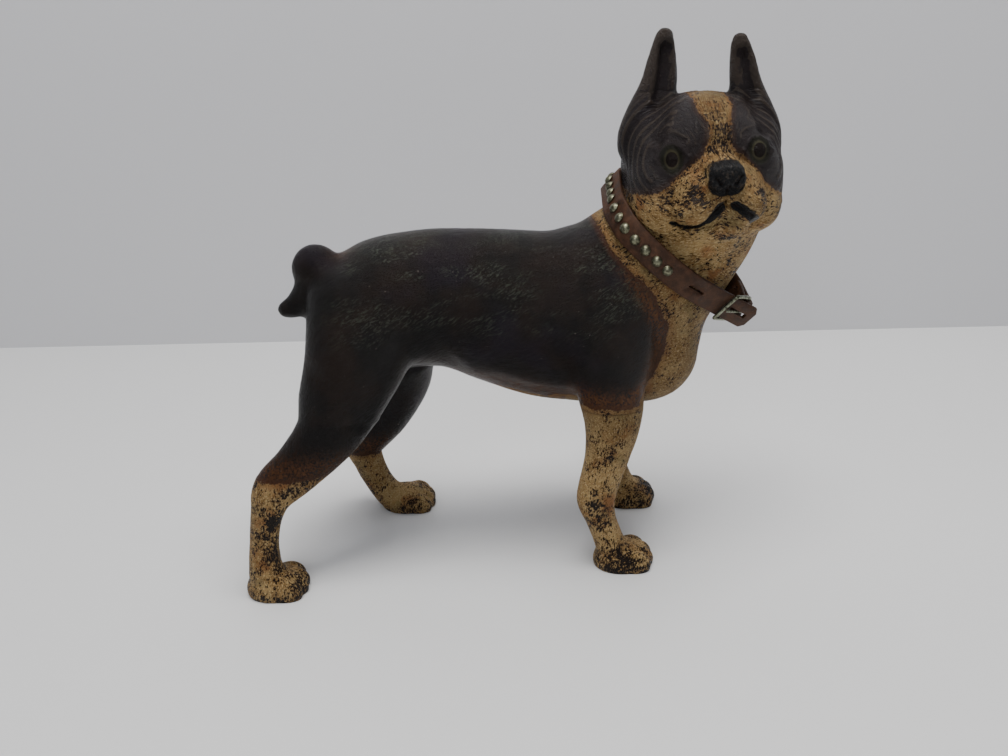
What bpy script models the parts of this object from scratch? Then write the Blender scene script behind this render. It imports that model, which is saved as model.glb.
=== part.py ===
"""Cast iron doorstop: a standing Boston terrier in two half shells, with a studded leather collar."""

import math

import bmesh
import bpy
import numpy as np
from mathutils import Matrix, Vector, geometry
from mathutils.bvhtree import BVHTree

MM = 0.001
GAP = 0.3  # clearance between pieces that touch on the real object
BEYOND = 300.0  # farther out than any point of the figure
SHARP = 75.0  # edges that bend by more degrees than this are shaded sharp

# Casting
WALL = 4.5
MASS_CELL = 2.0  # cell of the union of the big forms
MASS_SOFTENING = 14
FORM_CELL = 1.0  # cell of the union of the whole figure
FORM_SOFTENING = 3
FORM_TRIANGLES = 7000
CORE_CELL = 2.4
CORE_SOFTENING = 6
CORE_TRIANGLES = 800
CORE_TOP = 175.0  # the hollow neck ends inside the hollow head above this height
POST_RADIUS = 6.0
SCREW_AT = (-10.0, 127.0)
PIN_POSTS = ((-58.0, 136.0), (52.0, 112.0))
PIN_RADIUS = 2.0
PIN_LENGTH = 4.0
PIN_ROOT = 3.0  # how far a pin is rooted in its post
SCREW_RADIUS = 2.4
SCREW_REACH = 14.0  # how far the screw runs past the parting plane
SCREW_HEAD_RADIUS = 4.8
SCREW_HEAD_HEIGHT = 3.2
SCREW_HEAD_SUNK = 1.2
SLOT_WIDTH = 1.2
SLOT_DEPTH = 1.4
SCREW_EDGE = 0.8  # chamfer at the screw's end and round its head
BORE_SPARE = 1.5  # how much deeper the tapped bore is than the screw
OVERCUT = 1.0  # how far a cutter runs past what it cuts
SLIVER = 0.02  # points nearer than this after a cut are one point

# Collar strap
COLLAR_CENTRE = (84.5, 0.0, 156.0)
COLLAR_PITCH = 39.0
COLLAR_DIP = 16.0
STRAP_WIDTH = 13.0
STRAP_THICKNESS = 1.8
NECK_CLEARANCE = 0.4
BUCKLE_OUT = 40.5
BUCKLE_SIDE = 15.5
TAIL = 6.0
TAIL_POINT = 0.6  # how much of its width the tail keeps at its tip, and of its length before it narrows
FOLD_LENGTH = 15.0
LEATHER_EDGE = 0.35
SLIT_LENGTH = 9.3
SLIT_WIDTH = 1.3
SLIT_BACK = 33.9  # from the tail's foot back to the middle of the free slit
SLIT_PAST_BAR = 1.6  # how far the tongue's slit runs past the bar

# Studs and rivets
STUD_RADIUS = 2.5
STUD_HEIGHT = 1.9
STUD_SHANK = 0.8
STUD_PITCH = 6.6
STUD_LEAD = 17.2  # from the middle of the free slit to the first stud
STUD_COUNT = 19
ROUND_STEPS = 10  # faces round a stud or a rivet
RIVET_RADIUS = 1.6
RIVET_HEIGHT = 0.7
RIVET_SHANK = 0.7
RIVET_INNER = 0.7  # height of the inner head, as a share of the outer one's
RIVET_SPREAD = 3.6
RIVET_INSET = 3.5  # from the hidden end of the fold

# Buckle
WIRE_RADIUS = 1.0
FRAME_RUN = 14.0
FRAME_CORNER = 1.2  # radius of the frame's corners
TONGUE_RADIUS = 0.8
TONGUE_OVERHANG = 2.5


def remove_everything():
    for item in list(bpy.data.objects):
        bpy.data.objects.remove(item, do_unlink=True)


def collection(name):
    group = bpy.data.collections.new(name)
    bpy.context.scene.collection.children.link(group)
    return group


def add_mesh(name, vertices, faces, group):
    mesh = bpy.data.meshes.new(name)
    mesh.from_pydata([Vector(v) * MM for v in vertices], [], faces)
    mesh.update()
    item = bpy.data.objects.new(name, mesh)
    group.objects.link(item)
    return item


def smooth_path(sections, steps):
    """Catmull-Rom rows between the given sections, each a tuple of numbers."""
    rows = [np.array(s, float) for s in sections]
    padded = [2 * rows[0] - rows[1]] + rows + [2 * rows[-1] - rows[-2]]
    out = []
    for i in range(1, len(padded) - 2):
        before, start, end, after = padded[i - 1 : i + 3]
        for k in range(steps):
            t = k / steps
            out.append(
                0.5
                * (
                    2 * start
                    + (end - before) * t
                    + (2 * before - 5 * start + 4 * end - after) * t**2
                    + (3 * start - before - 3 * end + after) * t**3
                )
            )
    out.append(rows[-1])
    return out


def loft(name, sections, group, inset=0.0, sides=28, steps=6, across=(0.0, 1.0, 0.0)):
    """A solid through elliptical sections (x, y, z, half height, half width), ends rounded over."""
    rows = smooth_path(sections, steps)
    centres = [r[:3] for r in rows]
    rings = []
    for i, row in enumerate(rows):
        along = centres[min(i + 1, len(rows) - 1)] - centres[max(i - 1, 0)]
        rings.append((row[:3], along / np.linalg.norm(along), row[3] - inset, row[4] - inset))
    rings = rounded_end(rings[0], -1.0)[::-1] + rings + rounded_end(rings[-1], 1.0)
    across = np.array(across)
    vertices = []
    for centre, along, half_height, half_width in rings:
        side = across - along * across.dot(along)
        side /= np.linalg.norm(side)
        up = np.cross(along, side)
        for k in range(sides):
            angle = 2 * math.pi * k / sides
            vertices.append(
                centre + side * half_width * math.cos(angle) + up * half_height * math.sin(angle)
            )
    faces = []
    for i in range(len(rings) - 1):
        for k in range(sides):
            a = i * sides + k
            b = i * sides + (k + 1) % sides
            faces.append((a, b, b + sides, a + sides))
    faces.append(tuple(range(sides - 1, -1, -1)))
    last = (len(rings) - 1) * sides
    faces.append(tuple(range(last, last + sides)))
    item = add_mesh(name, vertices, faces, group)
    face_outward(item)
    return item


def rounded_end(ring, sign):
    """Three shrinking rings that close a loft like a dome."""
    centre, along, half_height, half_width = ring
    reach = min(half_height, half_width)
    out = []
    for angle in (30, 58, 80):
        turn = math.radians(angle)
        drop = math.cos(turn)
        out.append(
            (centre + along * sign * reach * math.sin(turn), along, half_height * drop, half_width * drop)
        )
    return out


def face_outward(item):
    mesh = bmesh.new()
    mesh.from_mesh(item.data)
    bmesh.ops.recalc_face_normals(mesh, faces=mesh.faces)
    mesh.to_mesh(item.data)
    mesh.free()


def blob(name, centre, radii, group, turn=(0.0, 0.0, 0.0)):
    """An ellipsoid, turned in degrees about X, Y and Z."""
    mesh = bmesh.new()
    bmesh.ops.create_uvsphere(mesh, u_segments=28, v_segments=16, radius=1.0)
    data = bpy.data.meshes.new(name)
    mesh.to_mesh(data)
    mesh.free()
    place = Matrix.Translation(Vector(centre) * MM)
    for axis, angle in zip("XYZ", turn):
        place = place @ Matrix.Rotation(math.radians(angle), 4, axis)
    data.transform(place @ Matrix.Diagonal([r * MM for r in radii]).to_4x4())
    item = bpy.data.objects.new(name, data)
    group.objects.link(item)
    return item


def merged(name, items, group):
    """One object that holds the meshes of all the items; they are removed."""
    mesh = bmesh.new()
    for item in items:
        mesh.from_mesh(item.data)
        bpy.data.objects.remove(item, do_unlink=True)
    data = bpy.data.meshes.new(name)
    mesh.to_mesh(data)
    mesh.free()
    out = bpy.data.objects.new(name, data)
    group.objects.link(out)
    return out


def apply_modifiers(item):
    bpy.context.view_layer.update()
    graph = bpy.context.evaluated_depsgraph_get()
    data = bpy.data.meshes.new_from_object(item.evaluated_get(graph))
    item.modifiers.clear()
    item.data = data


def fuse(item, cell, rounds):
    """Voxel union of overlapping forms, then the seams are worn smooth."""
    remesh = item.modifiers.new("union", "REMESH")
    remesh.mode = "VOXEL"
    remesh.voxel_size = cell * MM
    if rounds:
        soften = item.modifiers.new("soften", "SMOOTH")
        soften.factor = 0.5
        soften.iterations = round(rounds)
    apply_modifiers(item)
    return item


# Torso, from the rump to the breast: x, y, z, half height, half width
BREAST = ((68, 0, 102), (30.5, 27, 26))
TORSO = (
    (-70, 0, 130.5, 28.5, 26),
    (-60, 0, 132, 32, 30),
    (-42, 0, 133.5, 33.5, 30),
    (-25, 0, 133.5, 34.5, 29),
    (0, 0, 128, 39, 31.5),
    (22, 0, 123, 42, 34),
    (42, 0, 122.5, 45, 36),
    (60, 0, 119, 41, 34),
    (71, 0, 113, 32, 28),
)
NECK = (
    (58, 0, 130, 44, 32),
    (70, 0, 143, 40, 30),
    (80.5, 0, 155, 36, 28.5),
    (89, -1, 168, 34, 29),
    (93, -2, 182, 35, 29),
)
HEAD_X = 92.5  # the face's middle; what follows counts x from it
# Masses of the head: across, y, z, radii, lean in degrees; one that is off the middle is on both sides
SKULL = (
    ((0, -3, 204), (37.5, 31, 24), 0),
    ((-4, 7, 193), (31, 24, 24), 0),
    ((19, -15, 191), (16.5, 20, 21), 0),
    ((22, -20, 180), (12.5, 16, 14), 0),
    ((0, -17, 168), (19, 20, 15), 0),
)
FACE = (
    ((0, -32, 188), (20, 17, 14.5), 0),
    ((9.5, -36.5, 184), (12, 12.5, 10), 28),
    ((0, -30, 174), (17, 15, 9.5), 0),
    ((0, -37, 200), (9, 10, 5.5), 0),
    ((13, -21, 211), (9, 8, 5), -12),
    ((18.8, -22.5, 204), (9, 8.5, 8), 0),
    ((19.2, -26.6, 203.8), (5.5, 5.7, 5.5), 0),
    ((0, -46.5, 197), (6.2, 6.8, 5.8), 0),
    ((3.9, -46.8, 195.8), (4.5, 6.2, 4.8), 0),
    ((3.4, -46, 199.4), (4.7, 6.4, 3.9), 0),
)
# Lines worked into the face: points (across, z), half width, height, on both sides or once
FACE_LINES = (
    (((0.6, 185.6), (5.5, 182.0), (10.5, 177.6), (15.5, 174.8), (21, 175.4)), 2.0, -2.2, True),
    (((0, 192.5), (0, 184.0)), 1.3, -0.9, False),
    (((0, 200.5), (0, 192.5)), 1.1, -0.5, False),
    (((3.2, 194.6), (4.4, 195.4), (5.6, 197.2)), 1.4, -1.6, True),
    (((20, 187.5), (17, 196.5), (11, 203.3), (0, 206.4)), 2.8, 1.5, True),
    (((23, 190.5), (19.6, 199), (12, 206.8), (0, 210.2)), 2.4, -1.0, True),
    (((26, 202.8), (23.6, 207.2), (19.4, 209.4), (15.2, 208.2), (12.2, 204.6)), 1.5, 1.3, True),
    (((26, 202.8), (23.2, 198.8), (19.2, 197.2), (15.0, 199.0), (12.2, 204.6)), 1.4, 1.0, True),
    (((25.5, 205.5), (23, 210.8), (18.5, 212.8), (13, 211.2)), 1.6, -0.8, True),
    (((0, 208), (0, 222)), 3.0, -0.7, False),
    (((21, 175.4), (18, 169.5), (24, 164)), 2.4, -1.3, True),
    (((4, 178.6), (0, 180.4), (-4, 178.6)), 1.4, 0.6, False),
)
# The cups of the ears: points (x, z), half width, depth
EAR_CUPS = (
    (((66.5, 212), (70.5, 222), (73, 233), (74, 246)), 5.5, -3.4),
    (((117.5, 212), (114.0, 222), (111, 233), (109.2, 243)), 5.2, -3.2),
)
# Lines of muscle on both flanks: points (x, z), half width, height
FLANK_LINES = (
    (((-22, 101), (-30, 112), (-38, 124), (-47, 134)), 5.0, -1.4),
    (((-6, 98), (12, 92), (34, 90)), 6.0, -0.9),
    (((38, 92), (33, 108), (32, 126), (38, 146)), 5.0, -1.3),
    (((66, 92), (71, 106), (70, 124)), 4.5, -1.2),
    (((-92, 112), (-78, 99), (-70, 84)), 5.0, -0.9),
)
THIGHS = (
    ((-64, -12, 136, 30, 18), (-71, -22, 113, 25, 16.5), (-80, -27, 92, 20.5, 14)),
    ((-62, 12, 136, 30, 18), (-58, 22, 113, 25, 16.5), (-53, 28, 92, 19.5, 14)),
)
SHOULDERS = (
    ((52, -14, 138, 26, 20), (52, -22, 118, 24, 17), (49, -29, 96, 17, 13)),
    ((52, 14, 138, 26, 20), (54, 22, 118, 24, 17), (56, 28, 96, 17, 13)),
)
HIND_LEGS = (
    (
        (-80, -27, 92, 20.5, 14),
        (-87, -31, 78, 15.5, 11.5),
        (-100, -35, 64.5, 12.5, 9),
        (-112.5, -37, 53.5, 11, 7.8),
        (-117.5, -39, 42, 7.8, 6.6),
        (-120.5, -40, 26, 7.0, 6.5),
        (-121, -41, 10, 8.5, 9),
    ),
    (
        (-53, 28, 92, 19.5, 14),
        (-52.5, 33, 76, 14, 11.5),
        (-62, 36, 56, 11.5, 9),
        (-75.5, 38, 39.5, 10.5, 7.8),
        (-74, 38, 28, 8.5, 6.7),
        (-69.5, 38, 16, 8, 7),
        (-64, 38, 7, 8, 9),
    ),
)
FRONT_LEGS = (
    (
        (49, -29, 96, 17, 13),
        (50, -31, 78, 14, 11),
        (47.5, -32, 60, 11, 9.5),
        (43.5, -32.5, 44, 10, 8.5),
        (42.5, -33, 36, 9.5, 8),
        (45, -33, 26, 7.6, 7.6),
        (49, -33.5, 14, 7.6, 8),
        (52, -33.5, 7, 8.5, 9.5),
    ),
    (
        (56, 28, 96, 17, 13),
        (58, 30, 78, 13, 11),
        (60, 31, 60, 10.5, 9.5),
        (59, 31, 44, 9.5, 8.5),
        (59, 31, 36, 9, 8),
        (61.5, 31, 26, 7.6, 7.6),
        (66, 31, 14, 7.6, 8),
        (69, 31, 7, 8.5, 9.5),
    ),
)
PAWS = ((-116, -41), (-53, 37), (56.5, -34), (71.5, 29.5))
EARS = (
    (
        (66, 0, 196, 6, 9.5),
        (65, -2, 207, 7.5, 12.5),
        (69, -3, 219, 8, 12.6),
        (71.8, -4, 231, 5.5, 10),
        (72.8, -4, 241, 4.2, 7.8),
        (73.4, -4, 250, 3.2, 5.3),
        (73.8, -4, 252.5, 2.8, 4.3),
    ),
    (
        (119, 0, 196, 6, 8.5),
        (119.3, -2, 207, 7.5, 11.5),
        (114.8, -3, 219, 8, 10.6),
        (111.5, -4, 231, 5.5, 7.3),
        (109.4, -4, 241, 4.2, 5.9),
        (108, -4, 247.5, 3.0, 4.5),
        (107.7, -4, 250, 2.6, 3.5),
    ),
)
EAR_TURN = 25
STROKE_STEPS = 6
FACE_BACK = -12.0  # the face lies in front of this y
EAR_FOOT = 208.0  # the ears stand above this z


def head_masses(rows, group):
    """Ellipsoids of the head, mirrored about the face's middle where they are off it."""
    forms = []
    for (across, y, z), radii, lean in rows:
        for side in (1, -1) if across > 0 else (1,):
            place = (HEAD_X + side * across, y, z)
            forms.append(blob("mass", place, radii, group, turn=(0, side * lean, 0)))
    return forms


def big_forms(group):
    forms = [loft("torso", TORSO, group), loft("neck", NECK, group), blob("breast", *BREAST, group)]
    for rows in THIGHS + SHOULDERS:
        forms.append(loft("upper limb", rows, group))
    return forms + head_masses(SKULL, group)


def paw_forms(x, y, group):
    """A pad and four toes round (x, y), toes to the front."""
    forms = [blob("pad", (x - 1, y, 2.5), (14.5, 12.5, 10), group)]
    for shift in (-1.5, -0.5, 0.5, 1.5):
        reach = 8.0 if abs(shift) < 1 else 5.5
        forms.append(blob("toe", (x + reach, y + shift * 5.8, 3), (7.8, 4.2, 7.6), group))
    return forms


def ears(group):
    forms = []
    for rows, side in zip(EARS, (1, -1)):
        turn = math.radians(90 + side * EAR_TURN)
        forms.append(loft("ear", rows, group, across=(math.sin(turn), -math.cos(turn), 0.0)))
    return forms


def tail_forms(group):
    return [
        blob("tail root", (-84, 0, 146), (11, 12, 13), group),
        blob("tail curl", (-88.5, 0, 151), (12, 9, 12), group),
        loft("tail tip", ((-92, 0, 141, 8, 6.5), (-99, 0, 133, 6.5, 5.5), (-104.8, 0, 131, 5, 4.6)), group),
    ]


def stroke_weights(points, path, half_width):
    """One on the path and none at half_width from it, for points and a path in the same plane."""
    line = np.array([p[:2] for p in smooth_path([(x, z) for x, z in path], STROKE_STEPS)])
    nearest = np.full(len(points), np.inf)
    for start, end in zip(line, line[1:]):
        run = end - start
        share = np.clip((points - start) @ run / run.dot(run), 0, 1)
        nearest = np.minimum(nearest, np.linalg.norm(points - start - share[:, None] * run, axis=1))
    return np.clip(1 - (nearest / half_width) ** 2, 0, 1) ** 2


def carve(item):
    """Works the lines of the face, ears and flanks into the figure, each along the surface's normal."""
    count = len(item.data.vertices)
    places = np.empty(count * 3)
    item.data.vertices.foreach_get("co", places)
    places = places.reshape(-1, 3) / MM
    normals = np.empty(count * 3)
    item.data.vertex_normals.foreach_get("vector", normals)
    normals = normals.reshape(-1, 3)
    move = np.zeros(count)
    flat = places[:, [0, 2]]
    in_front = np.clip(-normals[:, 1] * 2, 0, 1) * (places[:, 1] < FACE_BACK)
    face = flat - (HEAD_X, 0)
    for path, half_width, height, both in FACE_LINES:
        for side in (1, -1) if both else (1,):
            weights = stroke_weights(face * (side, 1), path, half_width)
            move += weights * height * in_front
    ear_front = np.clip(-normals[:, 1] * 2, 0, 1) * (flat[:, 1] > EAR_FOOT)
    for path, half_width, height in EAR_CUPS:
        move += stroke_weights(flat, path, half_width) * height * ear_front
    outer = np.clip(np.abs(normals[:, 1]) * 2 - 0.4, 0, 1) * (flat[:, 0] < BREAST[0][0] + BREAST[1][0])
    for path, half_width, height in FLANK_LINES:
        move += stroke_weights(flat, path, half_width) * height * outer
    places += normals * move[:, None]
    item.data.vertices.foreach_set("co", (places * MM).ravel())
    item.data.update()


def sculpt(group):
    mass = fuse(merged("mass", big_forms(group), group), MASS_CELL, MASS_SOFTENING)
    limbs = [loft("leg", rows, group) for rows in HIND_LEGS + FRONT_LEGS]
    for x, y in PAWS:
        limbs += paw_forms(x, y, group)
    rest = limbs + head_masses(FACE, group) + ears(group) + tail_forms(group)
    dog = fuse(merged("dog", [mass] + rest, group), FORM_CELL, FORM_SOFTENING)
    carve(dog)
    return dog


def decimated(item, triangles):
    item.data.calc_loop_triangles()
    reduce = item.modifiers.new("fewer faces", "DECIMATE")
    reduce.ratio = min(1.0, triangles / len(item.data.loop_triangles))
    apply_modifiers(item)
    return item


def core_head(group):
    """The hollow in the skull, a wall inside its first mass and a little lower."""
    (across, y, z), radii, _ = SKULL[0]
    return blob("core head", (HEAD_X + across, y, z - WALL), [r - WALL for r in radii], group)


def core(group, posts):
    """The hollow inside both halves, less the posts that carry the screw and the pins."""
    chest = [row for row in NECK if row[2] < CORE_TOP]
    forms = [
        loft("core torso", TORSO, group, inset=WALL),
        loft("core neck", chest, group, inset=WALL),
        core_head(group),
    ]
    hollow = decimated(fuse(merged("core", forms, group), CORE_CELL, CORE_SOFTENING), CORE_TRIANGLES)
    for post in posts:
        boolean(hollow, post, "DIFFERENCE")
    apply_modifiers(hollow)
    return hollow


def boolean(item, tool, operation):
    step = item.modifiers.new(operation.lower() + " " + tool.name, "BOOLEAN")
    step.operation = operation
    step.solver = "EXACT"
    step.object = tool


def box(name, low, high, group):
    mesh = bmesh.new()
    bmesh.ops.create_cube(mesh, size=1.0)
    low = Vector(low)
    high = Vector(high)
    place = Matrix.Translation((low + high) / 2 * MM) @ Matrix.Diagonal((high - low) * MM).to_4x4()
    bmesh.ops.transform(mesh, matrix=place, verts=mesh.verts)
    return from_bmesh(name, mesh, group)


def from_bmesh(name, mesh, group):
    data = bpy.data.meshes.new(name)
    mesh.to_mesh(data)
    mesh.free()
    item = bpy.data.objects.new(name, data)
    group.objects.link(item)
    return item


def rod(name, start, end, radius, group, sides=20):
    """A cylinder from start to end."""
    start = Vector(start)
    run = Vector(end) - start
    mesh = bmesh.new()
    bmesh.ops.create_cone(
        mesh,
        cap_ends=True,
        segments=sides,
        radius1=radius * MM,
        radius2=radius * MM,
        depth=run.length * MM,
    )
    place = Matrix.Translation((start + run / 2) * MM) @ run.to_track_quat("Z", "Y").to_matrix().to_4x4()
    bmesh.ops.transform(mesh, matrix=place, verts=mesh.verts)
    return from_bmesh(name, mesh, group)


def turned(name, profile, group, steps=16):
    """A profile of (radius, height) pairs, top to bottom on its outer side, spun about Z."""
    mesh = bpy.data.meshes.new(name)
    points = [(r * MM, 0.0, z * MM) for r, z in profile]
    mesh.from_pydata(points, [(i, i + 1) for i in range(len(points) - 1)], [])
    item = bpy.data.objects.new(name, mesh)
    group.objects.link(item)
    spin = item.modifiers.new("spin", "SCREW")
    spin.steps = steps
    spin.render_steps = steps
    spin.use_merge_vertices = True
    spin.merge_threshold = 0.00001
    return item


def wire(name, points, radius, group, cyclic=False):
    """A round wire along the points, as a curve with filled caps."""
    data = bpy.data.curves.new(name, "CURVE")
    data.dimensions = "3D"
    data.bevel_depth = radius * MM
    data.bevel_resolution = 2
    data.use_fill_caps = True
    spline = data.splines.new("POLY")
    spline.points.add(len(points) - 1)
    for knot, point in zip(spline.points, points):
        knot.co = (*(Vector(point) * MM), 1.0)
    spline.use_cyclic_u = cyclic
    item = bpy.data.objects.new(name, data)
    group.objects.link(item)
    return item


def surface_tree(item):
    mesh = bmesh.new()
    mesh.from_mesh(item.data)
    tree = BVHTree.FromBMesh(mesh)
    mesh.free()
    return tree


def side_of_dog(tree, x, z):
    """How far out the left side of the dog lies at (x, z)."""
    hit = tree.ray_cast(Vector((x, BEYOND, z)) * MM, Vector((0, -1, 0)))[0]
    return hit.y / MM


def half_casting(name, form, rim, tools, group, cutters):
    """The whole figure less the floor, the hollow and everything past the parting plane."""
    half = bpy.data.objects.new(name, form.data.copy())
    group.objects.link(half)
    low, high = rim
    other = box(name + " parting cutter", (-BEYOND, low, -BEYOND), (BEYOND, high, BEYOND), cutters)
    for tool in tools + [other]:
        boolean(half, tool, "DIFFERENCE")
    return half


def make_castings(form, tree, group, cutters):
    rim = GAP / 2
    x, z = SCREW_AT
    seat = side_of_dog(tree, x, z) - SCREW_HEAD_SUNK - SCREW_HEAD_HEIGHT
    places = (SCREW_AT,) + PIN_POSTS
    posts = [rod("post", (px, -BEYOND, pz), (px, BEYOND, pz), POST_RADIUS, cutters) for px, pz in places]
    hollow = core(cutters, posts)
    for post in posts:
        bpy.data.objects.remove(post, do_unlink=True)
    floor = box("floor cutter", (-BEYOND, -BEYOND, -BEYOND), (BEYOND, BEYOND, 0), cutters)

    right = half_casting("right_half_casting", form, (-rim, BEYOND), [floor, hollow], group, cutters)
    for number, (px, pz) in enumerate(PIN_POSTS, 1):
        pin = rod("pin %d" % number, (px, -rim - PIN_ROOT, pz), (px, PIN_LENGTH, pz), PIN_RADIUS, cutters)
        boolean(right, pin, "UNION")
    deep = -SCREW_REACH - BORE_SPARE
    tapped = rod("tapped bore", (x, deep, z), (x, OVERCUT, z), SCREW_RADIUS + GAP, cutters)
    boolean(right, tapped, "DIFFERENCE")

    left = half_casting("left_half_casting", form, (-BEYOND, rim), [floor, hollow], group, cutters)
    for number, (px, pz) in enumerate(PIN_POSTS, 1):
        start = (px, -OVERCUT, pz)
        end = (px, PIN_LENGTH + 2 * GAP, pz)
        boolean(left, rod("socket %d" % number, start, end, PIN_RADIUS + GAP, cutters), "DIFFERENCE")
    bore = rod("screw bore", (x, -OVERCUT, z), (x, seat + OVERCUT, z), SCREW_RADIUS + 2 * GAP, cutters)
    boolean(left, bore, "DIFFERENCE")
    well = rod("head well", (x, seat, z), (x, seat + BEYOND, z), SCREW_HEAD_RADIUS + GAP, cutters)
    boolean(left, well, "DIFFERENCE")
    make_screw(x, z, seat + GAP, group, cutters)


def make_screw(x, z, seat, group, cutters):
    """A slotted machine screw; its head sits in the left half and its shank ends in the right half."""
    top = seat + SCREW_HEAD_HEIGHT
    profile = (
        (0.0, top),
        (SCREW_HEAD_RADIUS * 0.7, top),
        (SCREW_HEAD_RADIUS, top - SCREW_EDGE),
        (SCREW_HEAD_RADIUS, seat),
        (SCREW_RADIUS, seat),
        (SCREW_RADIUS, SCREW_EDGE - SCREW_REACH),
        (SCREW_RADIUS - SCREW_EDGE, -SCREW_REACH),
        (0.0, -SCREW_REACH),
    )
    screw = turned("assembly_screw", profile, group, steps=20)
    screw.rotation_euler = (math.radians(-90), 0, 0)
    screw.location = Vector((x, 0, z)) * MM
    wide = SCREW_HEAD_RADIUS + OVERCUT
    low = (x - wide, top - SLOT_DEPTH, z - SLOT_WIDTH / 2)
    slot = box("screw slot", low, (x + wide, top + OVERCUT, z + SLOT_WIDTH / 2), cutters)
    boolean(screw, slot, "DIFFERENCE")


def ring_axes():
    """Collar directions: out at the throat, out at the near side, and up the neck."""
    pitch = math.radians(COLLAR_PITCH)
    dip = math.radians(COLLAR_DIP)
    throat = Vector((math.cos(pitch), 0, -math.sin(pitch)))
    up = Vector((math.sin(pitch), 0, math.cos(pitch)))
    near = Vector((0, -1, 0))
    return (
        throat,
        near * math.cos(dip) - up * math.sin(dip),
        up * math.cos(dip) + near * math.sin(dip),
    )


THROAT, NEAR, UP_NECK = ring_axes()


def ring_point(flat, lift=0.0):
    """World point of a 2D point in the collar's plane, lifted along the neck."""
    return Vector(COLLAR_CENTRE) + THROAT * flat[0] + NEAR * flat[1] + UP_NECK * lift


def neck_points(tree):
    """The neck's outline in the collar's plane, widest over the strap's width."""
    out = []
    for degree in range(0, 360, 6):
        angle = math.radians(degree)
        away = THROAT * math.cos(angle) + NEAR * math.sin(angle)
        reach = 0.0
        for lift in (-STRAP_WIDTH / 2, -STRAP_WIDTH / 4, 0.0, STRAP_WIDTH / 4, STRAP_WIDTH / 2):
            middle = Vector(COLLAR_CENTRE) + UP_NECK * lift
            hit = tree.ray_cast(middle * MM, away)[0]
            reach = max(reach, (hit / MM - middle).length)
        reach += NECK_CLEARANCE
        out.append(Vector((reach * math.cos(angle), reach * math.sin(angle))))
    return out


def circle(centre, radius, count=48):
    turns = [2 * math.pi * k / count for k in range(count)]
    return [centre + Vector((math.cos(t), math.sin(t))) * radius for t in turns]


def taut(points, heel, radius):
    """The taut loop round the neck and a ring at the heel, in falling angle from the nape."""
    both = points + circle(heel, radius)
    loop = [both[i] for i in geometry.convex_hull_2d(both)]
    loop.sort(key=lambda p: -math.atan2(heel.cross(p), heel.dot(p)))
    return loop


class Collar:
    """Places of the strap, in the collar's plane; its path is the leather's inner face."""

    def __init__(self, tree):
        self.heel = Vector((BUCKLE_OUT, BUCKLE_SIDE))
        neck = self.clear_of_fold(neck_points(tree))
        fold = WIRE_RADIUS + GAP
        over = fold + STRAP_THICKNESS + GAP
        far_loop = taut(neck, self.heel, fold)
        near_loop = taut(neck, self.heel, over)
        far = [p for p in far_loop if self.on_far_side(p) or self.ahead(p)]
        near = [p for p in near_loop if not self.on_far_side(p) or self.ahead(p)]
        far_neck = [p for p in far if (p - self.heel).length > 2 * over]
        near_neck = [p for p in near if (p - self.heel).length > 2 * over]
        far_turn = [p for p in far if (p - self.heel).length < 2 * over][-1]
        near_turn = [p for p in near if (p - self.heel).length < 2 * over][0]
        self.main = [far_turn] + far_neck + near_neck + [near_turn]
        self.tail_along = (near_turn - near_neck[-1]).normalized()
        self.tail_out = outward(self.tail_along)
        self.tail_foot = near_turn
        self.far_along = (far_neck[0] - far_turn).normalized()
        self.far_out = outward(self.far_along)
        self.fold = fold
        rise = over + STRAP_THICKNESS + GAP + WIRE_RADIUS
        eye = WIRE_RADIUS + GAP + TONGUE_RADIUS
        clear = over - eye + STRAP_THICKNESS + 2 * GAP + TONGUE_RADIUS
        self.tongue_reach = FRAME_RUN * clear / rise
        self.front = (
            near_turn
            - self.tail_along * FRAME_RUN
            + self.tail_out * (STRAP_THICKNESS + GAP + WIRE_RADIUS)
        )

    def on_far_side(self, point):
        return self.heel.cross(point) < 0

    def ahead(self, point):
        """Farther out than the bar that the buckle turns on."""
        return self.heel.dot(point) > self.heel.length_squared

    def clear_of_fold(self, neck):
        """The neck's outline, moved out where the fold and its rivets lie under the loop."""
        room = STRAP_THICKNESS + 2 * GAP + RIVET_INNER * RIVET_HEIGHT
        reach = FOLD_LENGTH + (neck[1] - neck[0]).length
        moved = []
        for point in neck:
            beside = self.on_far_side(point) and (point - self.heel).length < reach
            moved.append(point + point.normalized() * room if beside else point)
        return moved

    def fold_points(self):
        """From the hidden end of the fold, round the bar, to the start of the main loop."""
        run = self.far_along
        out = self.far_out
        points = []
        for share in (1.0, 0.6):
            point, away = self.on_from_fold(share * FOLD_LENGTH)
            points.append(point - away * GAP)
        points.append(self.heel + run * 0.3 * FOLD_LENGTH - out * self.fold * 0.2)
        for degree in range(0, 180, 30):
            turn = math.radians(degree)
            points.append(self.heel - (out * math.cos(turn) + run * math.sin(turn)) * self.fold)
        return points

    def on_from_fold(self, distance):
        """Point and outward direction on the main loop, measured on from the fold."""
        left = distance
        for start, end in zip(self.main, self.main[1:]):
            length = (end - start).length
            if left <= length:
                return start.lerp(end, left / length), outward((end - start).normalized())
            left -= length
        return self.tail_foot, self.tail_out

    def back_from_tail(self, distance):
        """The same, measured back from the tail's foot."""
        whole = sum((end - start).length for start, end in zip(self.main, self.main[1:]))
        return self.on_from_fold(whole - distance)

    def slits(self):
        """Way back from the tail's foot, length and width of the tongue's slit and of the free one."""
        length = SLIT_PAST_BAR + self.tongue_reach
        return (
            (length / 2 - SLIT_PAST_BAR, length, 2 * (TONGUE_RADIUS + GAP)),
            (SLIT_BACK, SLIT_LENGTH, SLIT_WIDTH),
        )


def outward(along):
    return Vector((-along.y, along.x))


def ring_direction(flat):
    return (THROAT * flat[0] + NEAR * flat[1]).normalized()


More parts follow.
